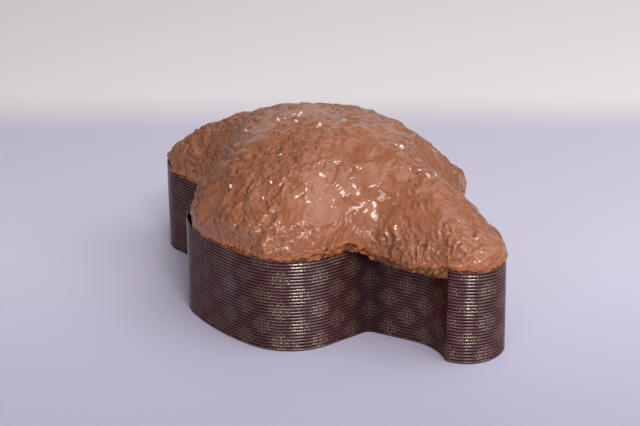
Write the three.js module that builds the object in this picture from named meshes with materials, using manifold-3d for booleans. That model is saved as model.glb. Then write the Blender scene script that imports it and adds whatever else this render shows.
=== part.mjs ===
// Colomba: a dove-shaped Easter cake in its corrugated paper case, under a coat of milk chocolate
// with a few flakes of salt. Millimetres, +Z up. The head points along +X, the wings along -Y and
// +Y, and the origin is on the ground under the middle of the case.
//
// Three solids:
//   paper_case         thin wall and floor of the baking case
//   cake_body          the dough, from the floor of the case up over its rim
//   chocolate_coating  the chocolate over the risen dome, with the salt flakes set in it

import * as THREE from 'three';
import { mergeVertices } from 'three/addons/utils/BufferGeometryUtils.js';
import Module from 'manifold-3d';

// ---------------------------------------------------------------- driving dimensions

const CASE_HEIGHT = 65; // wall of a one-kilogram colomba case
const PAPER = 1.2; // thickness of the corrugated wall and floor
const GAP = 0.3; // clearance between neighbouring solids
const HALF_LENGTH = 152.75; // middle of the case to the end of the tail or the head
const HEAD_SHIFT = 2; // the head sits this far towards the +Y wing
const RIM_LEAN = 2.2; // the wall on the +Y side of the head leans in by this much at its rim
const LIP_LEAN = 3.2; // and the lip of the dough by this much

const DOME_RISE = 68.5; // top of the dome over the level where it starts
const DOME_BASE = 63; // that level
const DOME_TOP_X = -4; // the top lies a little towards the tail
const FLANK_WIDTH = 43; // width over which the flank rises to the crest
const FLANK_POWER = 2.2; // above 2 the flank is fuller than an ellipse
const FLANK_SLACK = { x: -62, y: -84, reach: 37, share: 0.4 }; // a gentler flank beside this place
const CREST_REACH = { head: 191, tail: 176, front: 167, back: 133 }; // where the crest would end

const COAT = 3; // thickness of the chocolate on the dome
const COAT_EDGE = 0.6; // its thickness at the lower edge
const LIP_TO_EDGE = 2.2; // bare crust below the edge of the chocolate
const DROOP_RATIO = 0.75; // how far overhanging dough sags for each millimetre it hangs over
const DROOP_LIMIT = 8; // the most that it sags
const LUMP = 0.9; // height of the lumps in the chocolate

const FLAKE_SIZE = 3.6; // length of a salt flake
const FLAKE_SINK = 0.9; // how deep a flake sits in the chocolate
const FLAKE_SEED = 7;

// Middle of the tail's slightly rounded end.
const TAIL_END = { name: 'tail end', x: -HALF_LENGTH, y: 0, r: 120, arc: 3, side: 2, lip: { x: -153.6, y: 0, r: 120 } };

// Corners of the outline from the tail to the head, on the -Y side; the +Y side mirrors them.
// Each corner is rounded by an arc of radius r. 'arc' and 'side' are the number of steps in the
// arc and in the straight stretch after it. 'lip' is the same corner on the outline of the dough
// where it has risen over the rim: it hangs furthest over the notches and the neck.
const CORNERS = [
  { name: 'tail', x: -151, y: -31.5, r: 25, arc: 7, side: 6, lip: { x: -151.8, y: -32.5, r: 25.5 } },
  { name: 'tail notch', x: -64, y: -31, r: 12, arc: 4, side: 3, lip: { x: -66, y: -37, r: 30 } },
  { name: 'wing towards tail', x: -54.5, y: -88.5, r: 30, arc: 6, side: 2, lip: { x: -54.8, y: -89, r: 31 } },
  { name: 'wing tip', x: -2, y: -101.8, r: 150, arc: 6, side: 1, lip: { x: -2, y: -103, r: 150 } },
  { name: 'wing towards head', x: 59.8, y: -93, r: 42, arc: 7, side: 3, lip: { x: 60.4, y: -94, r: 43 } },
  { name: 'head notch', x: 68, y: -27.8, r: 7, arc: 4, side: 2, lip: { x: 69.5, y: -37, r: 20 } },
  { name: 'neck', x: 116.3, y: -14.5, r: 38, arc: 4, side: 1, lip: { x: 114.5, y: -31.8, r: 130 } },
  { name: 'cheek', x: 132.8, y: -26, r: 2.5, arc: 2, side: 1, lip: { x: 133.8, y: -27.2, r: 25 } },
  { name: 'head', x: HALF_LENGTH, y: -20.3, r: 25.4, arc: 6, side: 1, lip: { x: 153.5, y: -21.2, r: 25.8 } },
];

// ---------------------------------------------------------------- outlines

/** All corners counter-clockwise: the tail end, the front half, and its mirror image. */
function allCorners() {
  const front = CORNERS.map(shifted);
  const mirrored = CORNERS.map((corner, i) => shifted({
    ...corner,
    y: -corner.y,
    side: i === 0 ? TAIL_END.side : CORNERS[i - 1].side,
    lip: { ...corner.lip, y: -corner.lip.y },
  }));
  return [TAIL_END, ...front, ...mirrored.reverse()];
}

/** A corner with its place moved sideways where it belongs to the head. */
function shifted(corner) {
  const lip = { ...corner.lip, y: corner.lip.y + headShift(corner.x) };
  return { ...corner, y: corner.y + headShift(corner.x), lip };
}

/** Sideways shift of the head's corners. */
function headShift(x) {
  return x > 100 ? HEAD_SHIFT : 0;
}

/** Rounded closed outline through the corners, with the same number of points for any radii. */
function roundedOutline(corners) {
  const arcs = corners.map((corner, i) => {
    const point = new THREE.Vector2(corner.x, corner.y);
    const before = corners[(i + corners.length - 1) % corners.length];
    const after = corners[(i + 1) % corners.length];
    return cornerArc(point, new THREE.Vector2(before.x, before.y), new THREE.Vector2(after.x, after.y), corner);
  });
  const points = [];
  arcs.forEach((arc, i) => {
    points.push(...arc);
    const start = arc[arc.length - 1];
    const end = arcs[(i + 1) % arcs.length][0];
    const steps = corners[i].side;
    for (let k = 1; k < steps; k += 1) points.push(start.clone().lerp(end, k / steps));
  });
  return points;
}

/** Points of the arc that rounds one corner, from one straight side to the next. */
function cornerArc(point, before, after, corner) {
  const incoming = point.clone().sub(before).normalize();
  const outgoing = after.clone().sub(point).normalize();
  const turn = Math.atan2(incoming.cross(outgoing), incoming.dot(outgoing));
  const tangent = corner.r * Math.tan(Math.abs(turn) / 2);
  const start = point.clone().addScaledVector(incoming, -tangent);
  const side = Math.sign(turn);
  const normal = new THREE.Vector2(-incoming.y, incoming.x).multiplyScalar(side);
  const centre = start.clone().addScaledVector(normal, corner.r);
  const points = [];
  for (let k = 0; k <= corner.arc; k += 1) {
    points.push(start.clone().rotateAround(centre, (turn * k) / corner.arc));
  }
  return points;
}

/** Unit vectors that point out of a counter-clockwise outline, one at each point. */
function outwardNormals(outline) {
  const count = outline.length;
  return outline.map((point, i) => {
    const along = outline[(i + 1) % count].clone().sub(outline[(i + count - 1) % count]);
    return new THREE.Vector2(along.y, -along.x).normalize();
  });
}

/** The outline moved outwards by a distance, or inwards when it is negative. */
function offsetOutline(outline, distance) {
  const normals = outwardNormals(outline);
  return outline.map((point, i) => point.clone().addScaledVector(normals[i], distance));
}

/** The outline with the +Y side of the head moved in, towards -X and -Y alike. */
function leaning(outline, distance) {
  return outline.map((point) => {
    const along = THREE.MathUtils.smoothstep(point.x, 100, 145);
    const across = THREE.MathUtils.smoothstep(point.y, -5, 22);
    const moved = distance * along * across * Math.SQRT1_2;
    return new THREE.Vector2(point.x - moved, point.y - moved);
  });
}

const corners = allCorners();
const caseOutline = roundedOutline(corners);
const rimOutline = leaning(caseOutline, RIM_LEAN);
const lipOutline = leaning(roundedOutline(corners.map((corner) => ({ ...corner, ...corner.lip }))), LIP_LEAN);

// ---------------------------------------------------------------- the risen dome

/** Samples of the lip outline at an even spacing, for the soft distance. */
function evenSamples(outline, spacing) {
  const samples = [];
  outline.forEach((point, i) => {
    const next = outline[(i + 1) % outline.length];
    const steps = Math.max(1, Math.round(point.distanceTo(next) / spacing));
    for (let k = 0; k < steps; k += 1) {
      samples.push({ at: point.clone().lerp(next, k / steps), length: point.distanceTo(next) / steps });
    }
  });
  return samples;
}

const lipSamples = evenSamples(lipOutline, 1.5);

/**
 * Soft distance from a point to the lip: pi over the integral of 1 / distance^2 along the lip.
 * Beside a straight edge it is the plain distance; across a lobe it is a smooth hump.
 */
function softDistance(x, y) {
  let sum = 0;
  for (const sample of lipSamples) {
    const dx = x - sample.at.x;
    const dy = y - sample.at.y;
    sum += sample.length / Math.max(dx * dx + dy * dy, 0.01);
  }
  return Math.PI / sum;
}

/** Height of the crest over a point: a paraboloid with its own reach to each side. */
function crestHeight(x, y) {
  const alongReach = x > DOME_TOP_X ? CREST_REACH.head : CREST_REACH.tail;
  const acrossReach = y > 0 ? CREST_REACH.back : CREST_REACH.front;
  const along = (x - DOME_TOP_X) / alongReach;
  const across = y / acrossReach;
  return DOME_RISE * (1 - along * along - across * across);
}

/** Rise of the dome at a point: the crest, brought down to nothing along the lip. */
function domeRise(x, y) {
  const away = Math.hypot(x - FLANK_SLACK.x, y - FLANK_SLACK.y) / FLANK_SLACK.reach;
  const width = FLANK_WIDTH * (1 + FLANK_SLACK.share * Math.exp(-away * away));
  const depth = Math.min(softDistance(x, y) / width, 1);
  return crestHeight(x, y) * Math.sqrt(1 - (1 - depth) ** FLANK_POWER);
}

/** Low lumps of the chocolate: three crossing waves of different length. */
function lumps(x, y) {
  const first = Math.sin(x / 7.3 + 1.1 * Math.sin(y / 9.1)) * Math.cos(y / 6.4 + 0.7);
  const second = Math.sin((x + y) / 4.9 + 2.0 * Math.cos(x / 17));
  const third = Math.cos((x - 1.6 * y) / 11.2 + 0.4);
  return LUMP * (0.5 * first + 0.2 * second + 0.3 * third);
}

/** Distance from a point to the nearest stretch of an outline. */
function distanceToOutline(point, outline) {
  const distances = outline.map((start, i) => {
    const side = outline[(i + 1) % outline.length].clone().sub(start);
    const along = THREE.MathUtils.clamp(point.clone().sub(start).dot(side) / side.lengthSq(), 0, 1);
    return point.distanceTo(start.clone().addScaledVector(side, along));
  });
  return Math.min(...distances);
}

/** Lowest level of the dough at each point of the lip, lower where it hangs further over. */
const lowLevel = lipOutline.map((point) => {
  const overhang = distanceToOutline(point, rimOutline);
  return CASE_HEIGHT - 0.4 - Math.min(DROOP_LIMIT, DROOP_RATIO * Math.max(overhang - 1.2, 0));
});

// Rings of the dome: distances in from the lip, then shares of what is left to the spine.
const FLANK_RINGS = [0, 0.7, 2.4, 5.5, 10];
const TOP_RINGS = [0.16, 0.34, 0.54, 0.74, 0.92];
const SPINE_SHARE = 0.8; // the spine runs along X under this share of the lip's own x

/** One ring of the dome, as points in space. */
function domeRing(inset, share) {
  return lipOutline.map((lip, i) => {
    const spine = new THREE.Vector2(SPINE_SHARE * lip.x, (HEAD_SHIFT * Math.max(lip.x, 0)) / HALF_LENGTH);
    const reach = lip.distanceTo(spine);
    const travelled = inset + share * (reach - inset);
    const at = lip.clone().lerp(spine, travelled / reach);
    const settled = THREE.MathUtils.smoothstep(travelled, 0, 14);
    const base = THREE.MathUtils.lerp(lowLevel[i] + LIP_TO_EDGE, DOME_BASE, settled);
    return new THREE.Vector3(at.x, at.y, base + (travelled > 0 ? domeRise(at.x, at.y) : 0));
  });
}

/** All rings of the dome's outer face, from the lip to the spine. */
function domeRings() {
  const last = FLANK_RINGS[FLANK_RINGS.length - 1];
  return [
    ...FLANK_RINGS.map((inset) => domeRing(inset, 0)),
    ...TOP_RINGS.map((share) => domeRing(last, share)),
  ];
}

/** Direction square to the rings' surface at each of their points. */
function ringNormals(rings) {
  const count = rings[0].length;
  return rings.map((ring, k) => ring.map((point, i) => {
    const along = ring[(i + 1) % count].clone().sub(ring[(i + count - 1) % count]);
    const above = rings[Math.min(k + 1, rings.length - 1)][i];
    const below = rings[Math.max(k - 1, 0)][i];
    return along.cross(above.clone().sub(below)).normalize();
  }));
}

/** Rings moved along their normals: inwards by 'depth(k)' for ring k. */
function sunkenRings(rings, normals, depth) {
  return rings.map((ring, k) => ring.map((point, i) => point.clone().addScaledVector(normals[k][i], -depth(k))));
}

// ---------------------------------------------------------------- closed solids from rings

/** Triangles of a stack of rings, each joined to the next, with both ends filled in. */
function solidFromRings(rings) {
  const count = rings[0].length;
  const triangles = [];
  for (let k = 0; k + 1 < rings.length; k += 1) {
    for (let i = 0; i < count; i += 1) {
      const j = (i + 1) % count;
      const [a, b, c, d] = [rings[k][i], rings[k][j], rings[k + 1][j], rings[k + 1][i]];
      const shortFirst = a.distanceTo(c) < b.distanceTo(d);
      triangles.push(...(shortFirst ? [a, b, c, a, c, d] : [a, b, d, b, c, d]));
    }
  }
  triangles.push(...filledRing(rings[rings.length - 1], false));
  triangles.push(...filledRing(rings[0], true));
  return closedGeometry(triangles);
}

/**
 * Triangles that fill one ring, facing up, or down when 'reversed'. From the tail end, the front
 * and back halves are zipped together: each step takes the next point with the smaller x.
 */
function filledRing(ring, reversed) {
  const count = ring.length;
  const tail = ring.reduce((best, point, i) => (point.x < ring[best].x ? i : best), 0);
  const next = (i) => (i + 1) % count;
  const previous = (i) => (i + count - 1) % count;
  let front = next(tail);
  let back = previous(tail);
  const faces = [[tail, front, back]];
  while (next(front) !== back) {
    const stepFront = ring[next(front)].x < ring[previous(back)].x;
    faces.push([front, stepFront ? next(front) : previous(back), back]);
    if (stepFront) front = next(front);
    else back = previous(back);
  }
  return faces.flatMap(([a, b, c]) => (reversed ? [ring[a], ring[c], ring[b]] : [ring[a], ring[b], ring[c]]));
}

/** Geometry with shared vertices from a list of triangle corners. */
function closedGeometry(triangles) {
  const geometry = new THREE.BufferGeometry().setFromPoints(triangles);
  return mergeVertices(geometry, 1e-4);
}

/** Lifts an outline to a level, or to its own level at each point. */
function raised(outline, level) {
  return outline.map((point, i) => {
    const z = Array.isArray(level) ? level[i] : level;
    return new THREE.Vector3(point.x, point.y, z);
  });
}

/** Outline part of the way from one outline to another. */
function between(from, to, share) {
  return from.map((point, i) => point.clone().lerp(to[i], share));
}

// ---------------------------------------------------------------- the three pieces

/** The open paper case: wall up to the rim, and a flat floor. */
function paperCaseGeometry() {
  return solidFromRings([
    raised(caseOutline, 0),
    raised(rimOutline, CASE_HEIGHT),
    raised(offsetOutline(rimOutline, -PAPER), CASE_HEIGHT),
    raised(offsetOutline(caseOutline, -PAPER), PAPER),
  ]);
}

/** The dough: straight sides in the case, a lip over the rim that sags outside it, and a dome. */
function cakeBodyGeometry(rings, normals) {
  const outside = offsetOutline(rimOutline, GAP);
  const lip = offsetOutline(lipOutline, -0.35);
  const rimLevel = CASE_HEIGHT + GAP;
  const dome = sunkenRings(rings, normals, (k) => coatDepth(k) + GAP);
  return solidFromRings([
    raised(offsetOutline(caseOutline, -PAPER - GAP), PAPER + GAP),
    raised(offsetOutline(rimOutline, -PAPER - GAP), rimLevel),
    raised(outside, rimLevel),
    raised(outside, lowLevel.map((z) => z + 0.25)),
    raised(between(outside, lip, 0.45), lowLevel.map((z) => z - 0.1)),
    raised(lip, lowLevel.map((z) => z + LIP_TO_EDGE * 0.55)),
    ...dome,
  ]);
}

/** Thickness of the chocolate at ring k: thin at its lower edge, full a few rings up. */
function coatDepth(k) {
  return THREE.MathUtils.lerp(COAT_EDGE, COAT, THREE.MathUtils.smoothstep(k, 0, 4));
}

/** The chocolate: a lumpy outer face, and an inner face that follows the dough. */
function coatingGeometry(rings, normals) {
  const outer = rings.map((ring, k) => ring.map((point, i) => {
    const height = lumps(point.x, point.y + point.z) * Math.min(k / 2, 1);
    return point.clone().addScaledVector(normals[k][i], height);
  }));
  const inner = sunkenRings(rings, normals, coatDepth).reverse();
  return solidFromRings([...inner, ...outer]);
}

// ---------------------------------------------------------------- salt flakes

/** Repeatable random numbers from 0 to 1. */
function randomSource(seed) {
  let state = seed;
  return () => {
    state = (state * 1664525 + 1013904223) % 4294967296;
    return state / 4294967296;
  };
}

/** A salt flake: a low crystal with six uneven sides, its underside sunk in the chocolate. */
function flakeGeometry(random, size) {
  const rings = [-FLAKE_SINK, 0.35 * size, 0.5 * size].map((z, level) => {
    const ring = [];
    for (let k = 0; k < 6; k += 1) {
      const radius = size * [0.36, 0.5, 0.3][level] * (0.8 + 0.4 * random());
      const angle = (k / 6) * 2 * Math.PI;
      ring.push(new THREE.Vector3(radius * Math.cos(angle), 0.75 * radius * Math.sin(angle), z));
    }
    return ring;
  });
  return solidFromRings(rings);
}

/** Where the flakes lie: most of them about the top and down the neck, a few on each wing. */
function flakePlaces(random) {
  const patches = [
    { x: -2, y: -17, spread: 15, count: 6 },
    { x: 79, y: 2, spread: 11, count: 4 },
    { x: 14, y: -72, spread: 20, count: 4 },
    { x: -18, y: 48, spread: 20, count: 3 },
    { x: -86, y: 4, spread: 14, count: 2 },
  ];
  return patches.flatMap((patch) => Array.from({ length: patch.count }, () => ({
    x: patch.x + patch.spread * (2 * random() - 1),
    y: patch.y + patch.spread * (2 * random() - 1),
    turn: 2 * Math.PI * random(),
    size: FLAKE_SIZE * (0.75 + 0.5 * random()),
  })));
}

/** One flake, turned and set square on the dome. */
function placedFlake(place, random) {
  const height = (x, y) => DOME_BASE + domeRise(x, y) + lumps(x, y + DOME_BASE + domeRise(x, y));
  const at = new THREE.Vector3(place.x, place.y, height(place.x, place.y));
  const slopeX = (height(place.x + 1, place.y) - height(place.x - 1, place.y)) / 2;
  const slopeY = (height(place.x, place.y + 1) - height(place.x, place.y - 1)) / 2;
  const up = new THREE.Vector3(-slopeX, -slopeY, 1).normalize();
  const geometry = flakeGeometry(random, place.size).rotateZ(place.turn);
  geometry.applyQuaternion(new THREE.Quaternion().setFromUnitVectors(new THREE.Vector3(0, 0, 1), up));
  return geometry.translate(at.x, at.y, at.z);
}

// ---------------------------------------------------------------- joining

const wasm = await Module();
wasm.setup();

/** The geometry as a solid that can be joined to others. */
function asSolid(geometry) {
  const vertProperties = new Float32Array(geometry.attributes.position.array);
  const triVerts = new Uint32Array(geometry.index.array);
  return new wasm.Manifold(new wasm.Mesh({ numProp: 3, vertProperties, triVerts }));
}

/** The solid as a geometry again. */
function asGeometry(solid) {
  const mesh = solid.getMesh();
  const geometry = new THREE.BufferGeometry();
  geometry.setAttribute('position', new THREE.BufferAttribute(Float32Array.from(mesh.vertProperties), 3));
  geometry.setIndex(new THREE.BufferAttribute(Uint32Array.from(mesh.triVerts), 1));
  return geometry;
}

/** The chocolate with every salt flake joined to it. */
function coatingWithFlakes(rings, normals) {
  const random = randomSource(FLAKE_SEED);
  const flakes = flakePlaces(random).map((place) => asSolid(placedFlake(place, random)));
  return asGeometry(flakes.reduce((sum, flake) => sum.add(flake), asSolid(coatingGeometry(rings, normals))));
}

// ---------------------------------------------------------------- the object

/** A named mesh with its own finish. */
function piece(name, geometry, color, roughness) {
  const mesh = new THREE.Mesh(geometry, new THREE.MeshStandardMaterial({ color, roughness, metalness: 0 }));
  mesh.name = name;
  return mesh;
}

const rings = domeRings();
const normals = ringNormals(rings);
const colomba = new THREE.Group();
colomba.add(
  piece('paper_case', paperCaseGeometry(), 0x4a2a2c, 0.45),
  piece('cake_body', cakeBodyGeometry(rings, normals), 0xb8702f, 0.85),
  piece('chocolate_coating', coatingWithFlakes(rings, normals), 0x9b6148, 0.4),
);

export default colomba;
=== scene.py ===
"""Colomba: a dove-shaped Easter cake with a milk chocolate coat, in a corrugated paper case.

The shape is worked out in millimetres, in the frame of the CAD part: the origin on the ground under
the middle of the case, +X towards the head, +Y towards the wing that is further from the camera, +Z
up. A piece is turned into metres when its mesh is made.
"""

import logging
from dataclasses import dataclass, field
from enum import Enum

import bpy
import numpy as np
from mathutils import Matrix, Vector


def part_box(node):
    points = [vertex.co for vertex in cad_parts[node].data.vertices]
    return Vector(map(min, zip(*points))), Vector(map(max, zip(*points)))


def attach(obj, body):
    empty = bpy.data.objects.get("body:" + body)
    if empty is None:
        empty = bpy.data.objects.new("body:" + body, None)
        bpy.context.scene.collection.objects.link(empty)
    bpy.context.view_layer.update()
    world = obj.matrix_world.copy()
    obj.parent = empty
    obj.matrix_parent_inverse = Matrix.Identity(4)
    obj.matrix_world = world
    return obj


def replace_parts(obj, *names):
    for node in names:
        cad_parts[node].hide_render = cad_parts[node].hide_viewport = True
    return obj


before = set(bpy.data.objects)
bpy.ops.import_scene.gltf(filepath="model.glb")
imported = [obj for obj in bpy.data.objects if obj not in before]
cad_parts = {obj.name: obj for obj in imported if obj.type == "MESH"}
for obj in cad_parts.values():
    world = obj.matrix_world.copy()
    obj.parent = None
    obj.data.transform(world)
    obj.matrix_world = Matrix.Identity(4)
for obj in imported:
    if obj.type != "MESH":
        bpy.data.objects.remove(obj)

MM = 0.001
LOG = logging.getLogger("colomba")

# A hash multiplies each whole number that goes into it by a large prime of its own.
AXIS_PRIMES = (73856093, 19349663, 83492791)
SEED_PRIME = 2654435761
MIX_PRIME = 1274126177
HASH_BITS = 32
NOISE_STRETCH = 1.6

# A corner of the outline belongs to the head when its x is greater than this.
HEAD_FROM = 100.0

Colour = tuple[float, float, float, float]
Place = tuple[float, float, float]


# ------------------------------------------------------------------ small numerical tools


def smoothstep(value: np.ndarray, low: float, high: float) -> np.ndarray:
    """Rises from 0 at low to 1 at high as 3 t^2 - 2 t^3.

    Args:
        value: the numbers to judge.
        low: where the rise starts.
        high: where the rise ends.

    Returns:
        Numbers from 0 to 1, of the same shape as value.
    """
    t = np.clip((value - low) / (high - low), 0.0, 1.0)
    return t * t * (3.0 - 2.0 * t)


def hump(value: np.ndarray, middle: float, reach: float) -> np.ndarray:
    """A round hill 1 high: exp(-((value - middle) / reach)^2)."""
    return np.exp(-(((value - middle) / reach) ** 2))


def unit(vectors: np.ndarray) -> np.ndarray:
    """Scales vectors in the last axis to length 1."""
    return vectors / np.maximum(np.linalg.norm(vectors, axis=-1, keepdims=True), 1e-12)


def lattice_hash(cells: np.ndarray, seed: int) -> np.ndarray:
    """Repeatable 32-bit number for each lattice cell.

    Args:
        cells: whole numbers, (..., 3).
        seed: picks one of many patterns.

    Returns:
        Whole numbers below 2^32, (...).
    """
    whole = cells.astype(np.int64)
    mask = 2**HASH_BITS - 1
    h = np.bitwise_xor.reduce(whole * np.array(AXIS_PRIMES), axis=-1) ^ seed * SEED_PRIME
    h = (h ^ (h >> 13)) * MIX_PRIME & mask
    return (h ^ (h >> 16)) & mask


def gradient_noise(points: np.ndarray, seed: int) -> np.ndarray:
    """Smooth noise with hills about one unit wide.

    Each of the eight corners of a point's cell has a random direction, whose turn comes from the low
    half of the corner's hash and whose height comes from the high half. The value is the blend of
    direction . (point - corner), with the weights 6 t^5 - 15 t^4 + 10 t^3 along each axis.

    Args:
        points: places in units of the hills' width, (..., 3).
        seed: picks one of many patterns.

    Returns:
        Values from about -1 to 1, (...).
    """
    base = np.floor(points).astype(np.int64)
    local = points - base
    fade = local**3 * (local * (local * 6.0 - 15.0) + 10.0)
    total = np.zeros(points.shape[:-1])
    for corner in np.ndindex(2, 2, 2):
        step = np.array(corner)
        h = lattice_hash(base + step, seed)
        turn = (h & 2**16 - 1) / 2.0**16 * 2.0 * np.pi
        height = (h >> 16) / 2.0**15 - 1.0
        flat = np.sqrt(np.maximum(1.0 - height**2, 0.0))
        direction = np.stack([flat * np.cos(turn), flat * np.sin(turn), height], axis=-1)
        weight = np.prod(np.where(step == 1, fade, 1.0 - fade), axis=-1)
        total += weight * np.sum(direction * (local - step), axis=-1)
    return NOISE_STRETCH * total


def cell_distance(points: np.ndarray, seed: int) -> np.ndarray:
    """Distance to the nearest of one random point in every cell of a unit lattice.

    Args:
        points: places in units of the cells' width, (..., 3).
        seed: picks one of many patterns.

    Returns:
        Distances in cell widths, (...).
    """
    base = np.floor(points).astype(np.int64)
    nearest = np.full(points.shape[:-1], np.inf)
    for corner in np.ndindex(3, 3, 3):
        cell = base + np.array(corner) - 1
        spot = np.stack([lattice_hash(cell, seed + k) / 2.0**HASH_BITS for k in range(3)], axis=-1)
        nearest = np.minimum(nearest, np.linalg.norm(cell + spot - points, axis=-1))
    return nearest


def grid_normals(grid: np.ndarray) -> np.ndarray:
    """Outward directions of a grid that is closed along its columns.

    The direction is (difference along the row) x (difference up the column).

    Args:
        grid: places, (rows, columns, 3), the rows rising and the columns counter-clockwise.

    Returns:
        Unit vectors, (rows, columns, 3).
    """
    along = np.roll(grid, -1, axis=1) - np.roll(grid, 1, axis=1)
    upward = np.gradient(grid, axis=0)
    return unit(np.cross(along, upward))


def column_length(grid: np.ndarray) -> np.ndarray:
    """Length travelled up each column from its first row, (rows, columns)."""
    steps = np.linalg.norm(np.diff(grid, axis=0), axis=-1)
    return np.concatenate([np.zeros((1, grid.shape[1])), np.cumsum(steps, axis=0)])


def line_noise(along: np.ndarray, width: float, seed: int) -> np.ndarray:
    """Smooth noise along a line, with hills of this width, (count,)."""
    spot = np.stack([along, np.zeros_like(along), np.zeros_like(along)], axis=-1)
    return gradient_noise(spot / width, seed)


def nearness(places: np.ndarray, spots: np.ndarray, reach: np.ndarray) -> np.ndarray:
    """How near places are to each of a few spots: exp(-(distance / reach)^2).

    Args:
        places: (..., k).
        spots: (spots, k).
        reach: (spots,) or one number, in the places' own unit.

    Returns:
        Numbers from 0 to 1, (..., spots).
    """
    away = np.linalg.norm(places[..., None, :] - spots, axis=-1) / reach
    return np.exp(-(away**2))


def along_columns(grid: np.ndarray, travelled: np.ndarray, wanted: np.ndarray) -> np.ndarray:
    """Reads a grid's columns at wanted lengths, by straight interpolation between two rows.

    Args:
        grid: places, (rows, columns, 3).
        travelled: length at each row of each column, rising, (rows, columns).
        wanted: lengths to read at, (new rows, columns).

    Returns:
        Places, (new rows, columns, 3).
    """
    below = np.zeros(wanted.shape, dtype=np.int64)
    for row in range(1, grid.shape[0] - 1):
        below += travelled[row] < wanted
    column = np.arange(grid.shape[1])
    low, high = travelled[below, column], travelled[below + 1, column]
    share = np.clip((wanted - low) / np.maximum(high - low, 1e-9), 0.0, 1.0)[..., None]
    return grid[below, column] * (1.0 - share) + grid[below + 1, column] * share


# ------------------------------------------------------------------ the outline of the dove


class Course(Enum):
    """Which outline is meant: the paper case, or the lip of the dough that has risen over it."""

    CASE = "case"
    LIP = "lip"


@dataclass(frozen=True)
class Corner:
    """A corner of the dove, in millimetres, with its place and radius on both outlines."""

    name: str
    x: float
    y: float
    radius: float
    lip_x: float
    lip_y: float
    lip_radius: float

    def placed(self, course: Course, side: int, shift: float) -> tuple[float, float, float]:
        """Place and radius on one outline.

        Args:
            course: the outline.
            side: 1 for the front half, -1 for its mirror image.
            shift: sideways shift, given to corners of the head alone.

        Returns:
            x, y and radius.
        """
        moved = shift if self.x > HEAD_FROM else 0.0
        if course is Course.CASE:
            return self.x, side * self.y + moved, self.radius
        return self.lip_x, side * self.lip_y + moved, self.lip_radius


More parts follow.
